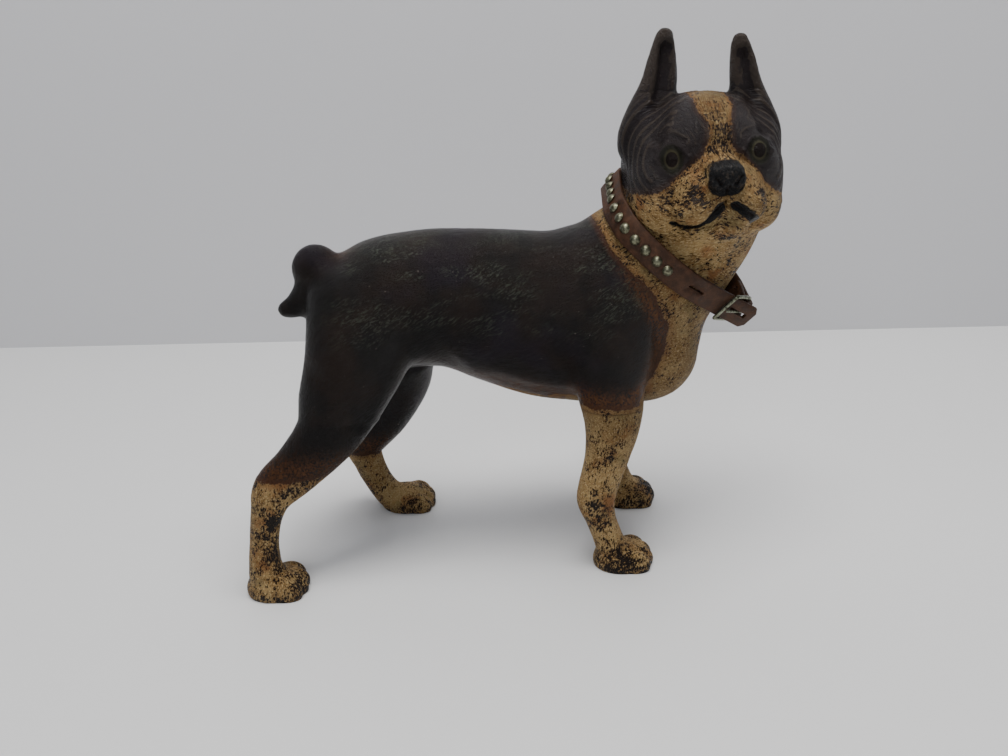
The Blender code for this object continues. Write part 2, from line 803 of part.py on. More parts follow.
def ring_box(name, centre, along, depth, width, group):
    """A box on the collar: centre and along in its plane, depth as (low, high) outward."""
    length, (low, high) = along[1], depth
    out = outward(along[0])
    mesh = bmesh.new()
    bmesh.ops.create_cube(mesh, size=1.0)
    middle = ring_point(centre + out * (low + high) / 2) * MM
    axes = (ring_direction(along[0]) * length, UP_NECK * width, ring_direction(out) * (high - low))
    place = Matrix([[axes[k][i] * MM for k in range(3)] + [middle[i]] for i in range(3)] + [[0, 0, 0, 1]])
    bmesh.ops.transform(mesh, matrix=place, verts=mesh.verts)
    bmesh.ops.recalc_face_normals(mesh, faces=mesh.faces)
    return from_bmesh(name, mesh, group)


def make_strap(collar, group, cutters):
    path = [(p, 1.0) for p in collar.fold_points() + collar.main]
    path += [
        (collar.tail_foot + collar.tail_along * TAIL * TAIL_POINT, 1.0),
        (collar.tail_foot + collar.tail_along * TAIL, TAIL_POINT),
    ]
    vertices = []
    for point, share in path:
        for side in (-1, 1):
            vertices.append(ring_point(point, side * share * STRAP_WIDTH / 2))
    faces = [(k, k + 2, k + 3, k + 1) for k in range(0, len(vertices) - 2, 2)]
    strap = add_mesh("collar_strap", vertices, faces, group)
    leather = strap.modifiers.new("leather", "SOLIDIFY")
    leather.thickness = STRAP_THICKNESS * MM
    leather.offset = 1.0
    leather.use_even_offset = True
    edge = strap.modifiers.new("worn edge", "BEVEL")
    edge.width = LEATHER_EDGE * MM
    edge.segments = 1
    edge.limit_method = "ANGLE"
    edge.angle_limit = math.radians(60)
    through = (-OVERCUT, STRAP_THICKNESS + OVERCUT)
    for k, (back, length, width) in enumerate(collar.slits()):
        centre, out = collar.back_from_tail(back)
        line = (Vector((out.y, -out.x)), length)
        slit = ring_box("slit %d" % (k + 1), centre, line, through, width, cutters)
        boolean(strap, slit, "DIFFERENCE")
    eye = WIRE_RADIUS + GAP + 2 * TONGUE_RADIUS + 2 * GAP
    depth = (-3 * eye, -GAP / 2)
    width = 2 * (TONGUE_RADIUS + GAP)
    slot = ring_box("tongue slot", collar.tail_foot, (collar.tail_along, 2 * eye), depth, width, cutters)
    boolean(strap, slot, "DIFFERENCE")
    return strap


def hole_through(strap, name, centre, out, depth, radius, cutters, lift=0.0):
    start = ring_point(centre + out * depth[0], lift)
    end = ring_point(centre + out * depth[1], lift)
    hole = rod(name, start, end, radius, cutters, sides=8)
    boolean(strap, hole, "DIFFERENCE")


def joined_slivers(item):
    """Points that the cuts left nearly on top of each other become one."""
    weld = item.modifiers.new("joined slivers", "WELD")
    weld.merge_threshold = SLIVER * MM


def stand(item, centre, out, lift=0.0):
    """Sets a turned piece on the strap, its axis outward."""
    item.location = ring_point(centre, lift) * MM
    item.rotation_euler = ring_direction(out).to_track_quat("Z", "Y").to_euler()


def make_studs(collar, strap, group, cutters):
    profile = (
        (0.0, STUD_HEIGHT),
        (STUD_RADIUS * 0.45, STUD_HEIGHT * 0.88),
        (STUD_RADIUS * 0.82, STUD_HEIGHT * 0.55),
        (STUD_RADIUS, GAP),
        (STUD_SHANK, GAP),
        (STUD_SHANK, -STRAP_THICKNESS),
        (0.0, -STRAP_THICKNESS),
    )
    first = SLIT_BACK + STUD_LEAD
    for k in range(STUD_COUNT):
        point, out = collar.back_from_tail(first + k * STUD_PITCH)
        stud = turned("stud_%02d" % (k + 1), profile, group, steps=ROUND_STEPS)
        stand(stud, point + out * STRAP_THICKNESS, out)
        depth = (-OVERCUT, STRAP_THICKNESS + OVERCUT)
        hole_through(strap, "stud hole", point, out, depth, STUD_SHANK + GAP, cutters)


def make_rivets(collar, strap, group, cutters):
    """Two rivets hold the fold of leather shut behind the buckle's bar."""
    grip = 2 * STRAP_THICKNESS + GAP
    profile = (
        (0.0, GAP + RIVET_HEIGHT),
        (RIVET_RADIUS * 0.6, GAP + RIVET_HEIGHT * 0.85),
        (RIVET_RADIUS, GAP + RIVET_HEIGHT * 0.3),
        (RIVET_RADIUS, GAP),
        (RIVET_SHANK, GAP),
        (RIVET_SHANK, -grip - GAP),
        (RIVET_RADIUS * 0.9, -grip - GAP),
        (RIVET_RADIUS * 0.9, -grip - GAP - RIVET_HEIGHT * RIVET_INNER),
        (0.0, -grip - GAP - RIVET_HEIGHT * RIVET_INNER),
    )
    place, out = collar.on_from_fold(FOLD_LENGTH - RIVET_INSET)
    for name, lift in (("upper_rivet", RIVET_SPREAD), ("lower_rivet", -RIVET_SPREAD)):
        rivet = turned(name, profile, group, steps=ROUND_STEPS)
        stand(rivet, place + out * STRAP_THICKNESS, out, lift)
        depth = (-grip, STRAP_THICKNESS + OVERCUT)
        hole_through(strap, name + " hole", place, out, depth, RIVET_SHANK + GAP, cutters, lift)


def make_buckle(collar, group):
    """The frame swings on its heel bar in the fold, and the tongue swings on the same bar."""
    half = STRAP_WIDTH / 2 + GAP + WIRE_RADIUS
    heel = collar.heel
    front = collar.front
    rail = (front - heel).normalized()
    corner = FRAME_CORNER
    points = []
    for flat, side, inward in ((heel, -1, rail), (heel, 1, rail), (front, 1, -rail), (front, -1, -rail)):
        ends = [
            ring_point(flat, side * (half - corner)),
            ring_point(flat + inward * corner * 0.3, side * (half - corner * 0.3)),
            ring_point(flat + inward * corner, side * half),
        ]
        turns_up = (flat is heel and side > 0) or (flat is front and side < 0)
        points += ends if turns_up else ends[::-1]
    pivot = ring_point(heel)
    frame = wire("buckle_frame", [p - pivot for p in points], WIRE_RADIUS, group, cyclic=True)
    frame.location = pivot * MM

    eye = WIRE_RADIUS + GAP + TONGUE_RADIUS
    out = -outward(rail)
    tip = front + out * eye + rail * TONGUE_OVERHANG
    points = [ring_point(tip), ring_point(heel + out * eye)]
    for degree in range(20, 256, 20):
        turn = math.radians(degree)
        points.append(ring_point(heel + (out * math.cos(turn) - rail * math.sin(turn)) * eye))
    tongue = wire("buckle_tongue", [p - pivot for p in points], TONGUE_RADIUS, group)
    tongue.location = pivot * MM


def material(name, colour, roughness, metallic):
    made = bpy.data.materials.new(name)
    made.use_nodes = True
    made.diffuse_color = (*colour, 1.0)
    shader = made.node_tree.nodes["Principled BSDF"]
    shader.inputs["Base Color"].default_value = (*colour, 1.0)
    shader.inputs["Roughness"].default_value = roughness
    shader.inputs["Metallic"].default_value = metallic
    return made


def paint_parts(group):
    """Each piece gets a material of its own, in the colour of its kind."""
    looks = {
        "right_half_casting": ((0.035, 0.028, 0.025), 0.5, 0.1),
        "left_half_casting": ((0.03, 0.025, 0.023), 0.5, 0.1),
        "assembly_screw": ((0.09, 0.07, 0.055), 0.55, 0.8),
        "collar_strap": ((0.09, 0.035, 0.025), 0.6, 0.0),
        "stud": ((0.32, 0.28, 0.15), 0.35, 1.0),
        "rivet": ((0.16, 0.13, 0.1), 0.4, 1.0),
        "buckle_frame": ((0.28, 0.29, 0.22), 0.4, 1.0),
        "buckle_tongue": ((0.2, 0.19, 0.15), 0.4, 1.0),
    }
    for item in group.objects:
        for key, look in looks.items():
            if key in item.name:
                item.data.materials.append(material(item.name, *look))


def shade(items):
    """Round pieces look round; edges sharper than SHARP degrees stay sharp, and the strap stays flat."""
    for item in items:
        if item.type == "MESH" and item.name != "collar_strap":
            item.data.shade_smooth()
            item.data.set_sharp_from_angle(angle=math.radians(SHARP))


def as_cutters(items):
    for item in items:
        item.hide_render = True
        item.display_type = "WIRE"


def extent(items):
    """Lowest and highest world corner of the items as they are evaluated."""
    graph = bpy.context.evaluated_depsgraph_get()
    low = np.full(3, np.inf)
    high = -low
    for item in items:
        seen = item.evaluated_get(graph)
        mesh = seen.to_mesh()
        points = np.empty(len(mesh.vertices) * 3)
        mesh.vertices.foreach_get("co", points)
        place = np.array(seen.matrix_world)
        points = points.reshape(-1, 3) @ place[:3, :3].T + place[:3, 3]
        low = np.minimum(low, points.min(axis=0))
        high = np.maximum(high, points.max(axis=0))
        seen.to_mesh_clear()
    return low, high


def centre_on_floor(items, everything):
    """Hangs all objects on an empty, so that the whole stands centred on the floor's origin."""
    bpy.context.view_layer.update()
    low, high = extent(items)
    stand_on = bpy.data.objects.new("doorstop_frame", None)
    bpy.context.scene.collection.objects.link(stand_on)
    stand_on.location = (-(low[0] + high[0]) / 2, -(low[1] + high[1]) / 2, 0.0)
    for item in everything:
        item.parent = stand_on


def main():
    remove_everything()
    parts = collection("Cast iron doorstop")
    cutters = collection("Cutters")
    form = decimated(sculpt(cutters), FORM_TRIANGLES)
    tree = surface_tree(form)
    make_castings(form, tree, parts, cutters)
    bpy.data.objects.remove(form, do_unlink=True)
    collar = Collar(tree)
    strap = make_strap(collar, parts, cutters)
    make_studs(collar, strap, parts, cutters)
    make_rivets(collar, strap, parts, cutters)
    joined_slivers(strap)
    make_buckle(collar, parts)
    paint_parts(parts)
    shade(parts.objects)
    as_cutters(cutters.objects)
    centre_on_floor(list(parts.objects), list(parts.objects) + list(cutters.objects))


main()
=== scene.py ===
"""The doorstop dressed for its photograph: worn black and cream paint, leather, brass and iron."""

import math

import bmesh
import bpy
import numpy as np
from mathutils import Matrix, Vector, noise


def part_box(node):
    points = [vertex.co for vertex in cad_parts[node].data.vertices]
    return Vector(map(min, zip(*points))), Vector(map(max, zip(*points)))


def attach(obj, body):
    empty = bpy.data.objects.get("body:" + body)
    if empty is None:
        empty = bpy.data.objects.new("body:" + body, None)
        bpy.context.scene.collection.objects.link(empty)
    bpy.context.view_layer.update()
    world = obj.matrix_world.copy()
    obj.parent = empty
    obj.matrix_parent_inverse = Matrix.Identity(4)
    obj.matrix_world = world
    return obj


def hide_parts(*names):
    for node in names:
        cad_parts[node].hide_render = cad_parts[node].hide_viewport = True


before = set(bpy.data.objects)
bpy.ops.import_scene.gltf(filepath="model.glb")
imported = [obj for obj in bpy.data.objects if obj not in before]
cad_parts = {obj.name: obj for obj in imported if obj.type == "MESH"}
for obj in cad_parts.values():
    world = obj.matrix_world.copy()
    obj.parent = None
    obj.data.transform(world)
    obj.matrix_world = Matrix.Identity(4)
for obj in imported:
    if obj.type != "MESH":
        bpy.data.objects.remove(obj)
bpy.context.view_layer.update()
workshop = bpy.data.collections.new("workshop")
bpy.context.scene.collection.children.link(workshop)

MM = 0.001  # the tables and the figure's work are in millimetres
MASS_CELL = 2  # cell of the union of the big forms
MASS_SOFTENING = 14  # rounds of smoothing after the union
FORM_CELL = 0.65  # cell of the finished figure, finer than the solids'
FORM_SOFTENING = 12
FIGURE_SHIFT = (0.0005201, 0.0019736, 0)  # from the figure's own frame to the part's
CASTINGS = ("right_half_casting", "left_half_casting")
# Lines worked into the face: points (across, z), half width, height, whether both sides have it
FACE_LINES = (
    (
        ((-0.6, 185.6), (-3.8, 182.6), (-7.3, 178.8), (-10.4, 176), (-14, 174.3), (-19.6, 175)),
        2, -2, False,
    ),
    (((0.6, 185.6), (6, 182.6), (11.5, 178.2)), 2, -1.7, False),
    (((13, 177), (15.5, 175.2)), 2.4, -0.6, False),
    (((0, 192.5), (0, 184)), 1.3, -0.9, False),
    (((0, 200.5), (0, 192.5)), 1.1, -0.5, False),
    (((3.2, 194.6), (4.4, 195.4), (5.6, 197.2)), 1.4, -1.6, True),
    (((-6.6, 201), (0, 201.9), (6.6, 201)), 1.2, 0.5, False),
    (((20, 187.5), (17, 196.5), (11, 203.3), (0, 206.4)), 2.8, 0.8, True),
    (((26, 202.8), (23.6, 207.2), (19.4, 209.4), (15.2, 208.2), (12.2, 204.6)), 1.5, 0.8, True),
    (((26, 202.8), (23.2, 198.8), (19.2, 197.2), (15, 199), (12.2, 204.6)), 1.4, 0.5, True),
    (((25.5, 205.5), (23, 210.8), (18.5, 212.8), (13, 211.2)), 1.6, -0.8, True),
    (((0, 208), (0, 222)), 3, -0.7, False),
    (((4, 178.6), (0, 180.4), (-4, 178.6)), 1.4, 0.6, False),
)
# Sections of the trunk, from rump to breast, and of each limb: x, y, z, half height and half width
TORSO = (
    (-70, 0, 130.5, 28.5, 26), (-60, 0, 132, 32, 30), (-42, 0, 133.5, 33.5, 30),
    (-25, 0, 133.5, 34.5, 29), (0, 0, 128, 39, 31.5), (22, 0, 123, 42, 34),
    (42, 0, 122.5, 45, 36), (60, 0, 119, 41, 34), (71, 0, 113, 32, 28),
)
BREAST = ((68, 0, 102), (30.5, 27, 26))  # middle, radii
NECK = (
    (58, 0, 130, 44, 32), (70, 0, 143, 40, 30), (80.5, 0, 155, 36, 28.5),
    (89, -1, 168, 34, 29), (93, -2, 182, 35, 29),
)
HEAD_X = 92.5  # the face's middle, from which across is counted
# Masses of the head: middle (across, y, z), radii, lean in degrees; one off the middle is on both sides
SKULL = (
    ((0, -3, 204), (37.5, 31, 24), 0),
    ((-4, 7, 193), (31, 24, 24), 0),
    ((19, -15, 191), (16.5, 20, 21), 0),
    ((22, -20, 180), (12.5, 16, 14), 0),
    ((0, -17, 168), (19, 20, 15), 0),
)
FACE = (
    ((0, -32, 188), (20, 17, 14.5), 0),
    ((9.5, -36.5, 184), (12, 12.5, 10), 28),
    ((0, -30, 174), (17, 15, 9.5), 0),
    ((0, -37, 200), (9, 10, 5.5), 0),
    ((13, -21, 211), (9, 8, 5), -12),
    ((18.8, -22.5, 204), (9, 8.5, 8), 0),
    ((19.2, -26.6, 203.8), (5.5, 5.7, 5.5), 0),
    ((0, -46.5, 197), (6.2, 6.8, 5.8), 0),
    ((3.9, -46.8, 195.8), (4.5, 6.2, 4.8), 0),
    ((3.4, -46, 199.4), (4.7, 6.4, 3.9), 0),
)
# The cups of the ears: points (x, z), half width, depth
EAR_CUPS = (
    (((66.5, 212), (70.5, 222), (73, 233), (74, 246)), 5.5, -3.4),
    (((117.5, 212), (114, 222), (111, 233), (109.2, 243)), 5.2, -3.2),
)
# Lines of muscle on both flanks: points (x, z), half width, height
FLANK_LINES = (
    (((-22, 101), (-30, 112), (-38, 124), (-47, 134)), 5, -1.4),
    (((-6, 98), (12, 92), (34, 90)), 6, -0.9),
    (((38, 92), (33, 108), (32, 126), (38, 146)), 5, -1.3),
    (((66, 92), (71, 106), (70, 124)), 4.5, -1.2),
    (((-92, 112), (-78, 99), (-70, 84)), 5, -0.9),
)
THIGHS = (
    ((-64, -12, 136, 30, 18), (-71, -22, 113, 25, 16.5), (-80, -27, 92, 20.5, 14)),
    ((-62, 12, 136, 30, 18), (-58, 22, 113, 25, 16.5), (-53, 28, 92, 19.5, 14)),
)
SHOULDERS = (
    ((52, -14, 138, 26, 20), (52, -22, 118, 24, 17), (49, -29, 96, 17, 13)),
    ((52, 14, 138, 26, 20), (54, 22, 118, 24, 17), (56, 28, 96, 17, 13)),
)
HIND_LEGS = (
    (
        (-80, -27, 92, 20.5, 14), (-87, -31, 78, 15.5, 11.5), (-100, -35, 64.5, 12.5, 9),
        (-112.5, -37, 53.5, 11, 7.8), (-117.5, -39, 42, 7.8, 6.6), (-120.5, -40, 26, 7, 6.5),
        (-121, -41, 10, 8.5, 9),
    ),
    (
        (-53, 28, 92, 19.5, 14), (-52.5, 33, 76, 14, 11.5), (-62, 36, 56, 11.5, 9),
        (-75.5, 38, 39.5, 10.5, 7.8), (-74, 38, 28, 8.5, 6.7), (-69.5, 38, 16, 8, 7),
        (-64, 38, 7, 8, 9),
    ),
)
FRONT_LEGS = (
    (
        (49, -29, 96, 17, 13), (50, -31, 78, 14, 11), (47.5, -32, 60, 11, 9.5),
        (43.5, -32.5, 44, 10, 8.5), (42.5, -33, 36, 9.5, 8), (45, -33, 26, 7.6, 7.6),
        (49, -33.5, 14, 7.6, 8), (52, -33.5, 7, 8.5, 9.5),
    ),
    (
        (56, 28, 96, 17, 13), (58, 30, 78, 13, 11), (60, 31, 60, 10.5, 9.5),
        (59, 31, 44, 9.5, 8.5), (59, 31, 36, 9, 8), (61.5, 31, 26, 7.6, 7.6),
        (66, 31, 14, 7.6, 8), (69, 31, 7, 8.5, 9.5),
    ),
)
# Middle of each paw: x, y
PAWS = ((-116, -41), (-53, 37), (56.5, -34), (71.5, 29.5))
EARS = (
    (
        (66, 0, 196, 6, 9.5), (65, -2, 207, 7.5, 12.5), (69, -3, 219, 8, 12.6),
        (71.8, -4, 231, 5.5, 10), (72.8, -4, 241, 4.2, 7.8), (73.4, -4, 250, 3.2, 5.3),
        (73.8, -4, 252.5, 2.8, 4.3),
    ),
    (
        (119, 0, 196, 6, 8.5), (119.3, -2, 207, 7.5, 11.5), (114.8, -3, 219, 8, 10.6),
        (111.5, -4, 231, 5.5, 7.3), (109.4, -4, 241, 4.2, 5.9), (108, -4, 247.5, 3, 4.5),
        (107.7, -4, 250, 2.6, 3.5),
    ),
)
EAR_TURN = 25  # degrees that each ear's front turns towards the other ear
PATH_STEPS = 6  # steps from one given point to the next
LOFT_SIDES = 28
DOME_ANGLES = (30, 58, 80)  # degrees at which a loft's end is rounded over
TAIL_FOOT = (-74, 0, 158)
TAIL_TIP = ((-92, 0, 141, 8, 6.5), (-99, 0, 133, 6.5, 5.5), (-104.8, 0, 131, 5, 4.6))
FACE_BACK = -12  # the face lies in front of this y
EAR_FOOT = 208  # the ears stand above this z


def placed(name, data, group=None):
    """An object in the workshop or, with no group, in the scene itself."""
    item = bpy.data.objects.new(name, data)
    (group or bpy.context.scene.collection).objects.link(item)
    return item


def item_from(name, mesh, group=None):
    """An object made from a bmesh, which is freed."""
    data = bpy.data.meshes.new(name)
    mesh.to_mesh(data)
    mesh.free()
    return placed(name, data, group)


def solid(name, vertices, faces):
    """A closed form from its points in millimetres, its faces turned outward."""
    data = bpy.data.meshes.new(name)
    data.from_pydata([Vector(v) * MM for v in vertices], [], faces)
    mesh = bmesh.new()
    mesh.from_mesh(data)
    bmesh.ops.recalc_face_normals(mesh, faces=mesh.faces)
    mesh.to_mesh(data)
    mesh.free()
    return placed(name, data, workshop)


def smooth_path(sections):
    """Catmull-Rom rows between the given sections, each a tuple of numbers."""
    rows = [np.array(s, float) for s in sections]
    padded = [2 * rows[0] - rows[1]] + rows + [2 * rows[-1] - rows[-2]]
    out = []
    for i in range(1, len(padded) - 2):
        before, start, end, after = padded[i - 1 : i + 3]
        for k in range(PATH_STEPS):
            t = k / PATH_STEPS
            bend = (2 * before - 5 * start + 4 * end - after) * t**2
            turn = (3 * start - before - 3 * end + after) * t**3
            out.append(0.5 * (2 * start + (end - before) * t + bend + turn))
    out.append(rows[-1])
    return out


def loft(name, sections, across=(0.0, 1.0, 0.0)):
    """A solid through elliptical sections, their half width along across, ends rounded over."""
    rows = smooth_path(sections)
    centres = [r[:3] for r in rows]
    rings = []
    for i, row in enumerate(rows):
        along = centres[min(i + 1, len(rows) - 1)] - centres[max(i - 1, 0)]
        rings.append((row[:3], along / np.linalg.norm(along), row[3], row[4]))
    rings = rounded_end(rings[0], -1.0)[::-1] + rings + rounded_end(rings[-1], 1.0)
    across = np.array(across)
    vertices = []
    for centre, along, half_height, half_width in rings:
        side = across - along * across.dot(along)
        side /= np.linalg.norm(side)
        up = np.cross(along, side)
        for k in range(LOFT_SIDES):
            angle = 2 * math.pi * k / LOFT_SIDES
            place = centre + side * half_width * math.cos(angle) + up * half_height * math.sin(angle)
            vertices.append(place)
    return solid(name, vertices, tube_faces(len(rings)))


def tube_faces(rings):
    """Faces between rings of LOFT_SIDES points, and one over each end."""
    faces = []
    for i in range(rings - 1):
        for k in range(LOFT_SIDES):
            a = i * LOFT_SIDES + k
            b = i * LOFT_SIDES + (k + 1) % LOFT_SIDES
            faces.append((a, b, b + LOFT_SIDES, a + LOFT_SIDES))
    faces.append(tuple(range(LOFT_SIDES - 1, -1, -1)))
    last = (rings - 1) * LOFT_SIDES
    faces.append(tuple(range(last, last + LOFT_SIDES)))
    return faces


def rounded_end(ring, sign):
    """Shrinking rings that close a loft like a dome."""
    centre, along, half_height, half_width = ring
    reach = min(half_height, half_width)
    out = []
    for angle in DOME_ANGLES:
        turn = math.radians(angle)
        drop = math.cos(turn)
        place = centre + along * sign * reach * math.sin(turn)
        out.append((place, along, half_height * drop, half_width * drop))
    return out


def blob(name, centre, radii, lean=0.0):
    """An ellipsoid, leant so many degrees about Y."""
    mesh = bmesh.new()
    bmesh.ops.create_uvsphere(mesh, u_segments=28, v_segments=16, radius=1.0)
    item = item_from(name, mesh, workshop)
    place = Matrix.Translation(Vector(centre) * MM) @ Matrix.Rotation(math.radians(lean), 4, "Y")
    item.data.transform(place @ Matrix.Diagonal([r * MM for r in radii]).to_4x4())
    return item


def merged(name, items):
    """One object that holds the meshes of all the items; they are removed."""
    mesh = bmesh.new()
    for item in items:
        mesh.from_mesh(item.data)
        bpy.data.objects.remove(item, do_unlink=True)
    return item_from(name, mesh, workshop)


def apply_modifiers(item):
    bpy.context.view_layer.update()
    graph = bpy.context.evaluated_depsgraph_get()
    data = bpy.data.meshes.new_from_object(item.evaluated_get(graph))
    item.modifiers.clear()
    item.data = data


def fuse(item, cell, rounds):
    """Voxel union of overlapping forms, then the seams are worn smooth."""
    remesh = item.modifiers.new("union", "REMESH")
    remesh.mode = "VOXEL"
    remesh.voxel_size = cell * MM
    soften = item.modifiers.new("soften", "SMOOTH")
    soften.factor = 0.5
    soften.iterations = rounds
    apply_modifiers(item)
    return item


def head_masses(rows):
    """Ellipsoids of the head, mirrored about the face's middle where they are off it."""
    forms = []
    for (across, y, z), radii, lean in rows:
        for side in (1, -1) if across > 0 else (1,):
            place = (HEAD_X + side * across, y, z)
            forms.append(blob("mass", place, radii, side * lean))
    return forms


def big_forms():
    forms = [loft("torso", TORSO), loft("neck", NECK), blob("breast", *BREAST)]
    for rows in THIGHS + SHOULDERS:
        forms.append(loft("upper limb", rows))
    return forms + head_masses(SKULL)


def paw_forms(x, y):
    """A pad and four toes round (x, y), toes to the front."""
    forms = [blob("pad", (x - 1, y, 2.5), (14.5, 12.5, 10))]
    for shift in (-1.5, -0.5, 0.5, 1.5):
        reach = 8 if abs(shift) < 1 else 5.5
        forms.append(blob("toe", (x + reach, y + shift * 5.8, 3), (7.8, 4.2, 7.6)))
    return forms


def ears():
    forms = []
    for rows, side in zip(EARS, (1, -1)):
        turn = math.radians(90 + side * EAR_TURN)
        forms.append(loft("ear", rows, across=(math.sin(turn), -math.cos(turn), 0.0)))
    return forms


def tail_forms():
    return [
        blob("tail root", (-84, 0, 146), (11, 12, 13)),
        blob("tail curl", (-88.5, 0, 151), (12, 9, 12)),
        loft("tail tip", TAIL_TIP),
    ]


def stroke_weights(points, path, half_width):
    """One on the path and none at half_width from it, for points and a path in the same plane."""
    return np.clip(1 - (line_distance(points, smooth_path(path)) / half_width) ** 2, 0, 1) ** 2


def carve(item):
    """Works the lines of the face, ears and flanks into the figure, each along the surface's normal."""
    places, normals = mesh_arrays(item.data)
    move = np.zeros(len(places))
    flat = places[:, [0, 2]]
    to_front = np.clip(-normals[:, 1] * 2, 0, 1)
    in_front = to_front * (places[:, 1] < FACE_BACK)
    face = flat - (HEAD_X, 0)
    for path, half_width, height, both in FACE_LINES:
        for side in (1, -1) if both else (1,):
            weights = stroke_weights(face * (side, 1), path, half_width)
            move += weights * height * in_front
    ear_front = to_front * (flat[:, 1] > EAR_FOOT)
    for path, half_width, height in EAR_CUPS:
        move += stroke_weights(flat, path, half_width) * height * ear_front
    breast_end = BREAST[0][0] + BREAST[1][0]
    outer = np.clip(np.abs(normals[:, 1]) * 2 - 0.4, 0, 1) * (flat[:, 0] < breast_end)
    for path, half_width, height in FLANK_LINES:
        move += stroke_weights(flat, path, half_width) * height * outer
    set_places(item.data, places + normals * move[:, None])


def sculpt():
    mass = fuse(merged("mass", big_forms()), MASS_CELL, MASS_SOFTENING)
    limbs = [loft("leg", rows) for rows in HIND_LEGS + FRONT_LEGS]
    for x, y in PAWS:
        limbs += paw_forms(x, y)
    rest = limbs + head_masses(FACE) + ears() + tail_forms()
    dog = fuse(merged("dog", [mass] + rest), FORM_CELL, FORM_SOFTENING)
    carve(dog)
    return dog


# The camera, from the photograph's view of the table
CAMERA_PLACE = (-0.031, -0.4429, 0.272)
CAMERA_LENS = 33.93
CAMERA_HEADING = 4
CAMERA_PITCH = 22.26
CAMERA_ROLL = -1.05

# Two points of the line where the wall meets the table
WALL_FOOT = ((-0.4002, 0.3383), (0.4502, 0.2877))
STAGE_REACH = 8

# Where the black mask ends on the head: angle round the head from the face's middle, height
MASK_EDGE = (
    (-180, 189), (-120, 186), (-90, 184), (-58, 185.5), (-51, 186.4), (-41, 186.9), (-31, 190.9),
    (-24, 196.5), (-11, 204.4), (0, 206), (10, 206), (18, 203.1), (24, 199.1), (30, 191.4),
    (40, 187), (60, 184.5), (90, 184), (180, 189),
)
# The blaze: height, left edge, right edge, across from the face's middle
BLAZE = (
    (200, -9, 9), (204, -7.3, 9), (208, -5, 6.1), (212, -3.9, 6), (217, -4, 6), (221, -7.2, 8),
    (229, -8, 9.5),
)
BLAZE_END = 4  # the blaze ends at this y
# Where the body's black ends in front: height, x
BODY_EDGE = (
    (80, 58), (90, 61), (95, 65), (98.5, 69.4), (109.5, 74.2), (116.8, 75.6), (124, 75.8), (132.8, 72.4),
    (139.7, 68.2), (145.9, 63.9), (151.8, 56.7), (158, 50.3), (164.2, 47), (169.7, 44.2), (178, 38),
)
# Where the belly's cream begins: x, height
BELLY_EDGE = ((-16, 93), (-3, 92), (6.6, 89.6), (18.8, 86.7), (31.4, 84.1), (45, 84))
ELBOW_HEIGHT = 88.5  # the legs are cream below these heights
NEAR_HOCK_HEIGHT = 60
FAR_HOCK_HEIGHT = 35
OUTSIDE = -20.0  # a distance well outside the paint
# Black lines of the mouth: points (across, z), half width
MOUTH_LINES = (
    (((-2.6, 184.4), (-4.4, 182.2), (-7.3, 178.8)), 2.1),
    (((-7.3, 178.8), (-10.4, 176), (-14, 174.4)), 1.5),
    (((-14, 174.4), (-18, 174.3), (-19.8, 175.2)), 0.9),
    (((3.8, 184.4), (7.5, 181.6), (11.5, 178.3)), 2.1),
    (((11.5, 178.3), (16, 174.9), (21, 171.6)), 2.1),
)
MOUTH_BACK = -37.5  # the left cheek lies behind this y and stays cream
NOSE_MIDDLE = (0.2, 196.4)
NOSE_RADII = (8.3, 7.2)
NOSE_BACK = -40.5  # the nose's black ends at this y
EYE_PLACE = (19.4, 203.7)
PUPIL_RADII = (2.5, 3)
# The face leans a little: its middle, reach across and up, and the turn in degrees
FACE_MIDDLE = (0, 197)
FACE_REACH = (33, 30)
FACE_TILT = 4.6
# Creases between the forms of the face that are worn soft: points (across, z) and half width
SOFT_CREASES = (
    (((20, 187.5), (17, 196.5), (11, 203.3), (0, 206.4)), 7),
    (((24, 192), (24, 178), (20, 168)), 7.5),
    (((36, 196), (30, 182), (26, 172)), 8),
)
# Where the ears grow out of the head: point, reach
EAR_ROOTS = (((70, -14, 214), 15), ((115, -14, 214), 15), ((84, -22, 216), 9), ((101, -22, 216), 9))
SOFT_ROUNDS = 70  # rounds of smoothing where the seams are worn
# Places where the paint is worn through: point, reach, amount
WEAR = (
    ((47, -42, 63), 2.6, 0.6), ((39.5, -40, 45), 2.6, 0.6), ((40.5, -40, 37), 3, 0.65),
    ((42.5, -40, 29), 2.5, 0.5), ((43.5, -41, 24), 2.6, 0.6), ((47, -41, 17), 3, 0.5),
    ((52, -42, 11), 4.5, 0.4), ((57, -43, 6), 7, 0.45),
    ((79.5, -45, 189.5), 4.4, 1.1), ((84, -46, 185), 3.2, 0.9), ((108.5, -42, 188), 4.2, 1),
    ((68.5, -22, 172), 4, 0.9), ((60, -16, 182), 6, 0.35), ((90, -30, 171), 4, 0.3),
    ((92, -36, 208), 9, 0.25), ((92, -32, 218), 9, 0.2),
    ((-113, -45, 40), 4, 0.9), ((-112, -44, 30), 3.5, 0.7), ((-113, -46, 22), 4, 0.6),
    ((-108, -45, 6), 9, 0.35), ((84, 30, 6), 9, 0.7), ((-42, 38, 5), 7, 0.4),
    ((-66, 44, 42), 5, 0.4), ((45, -30, 84), 4, 0.3),
)

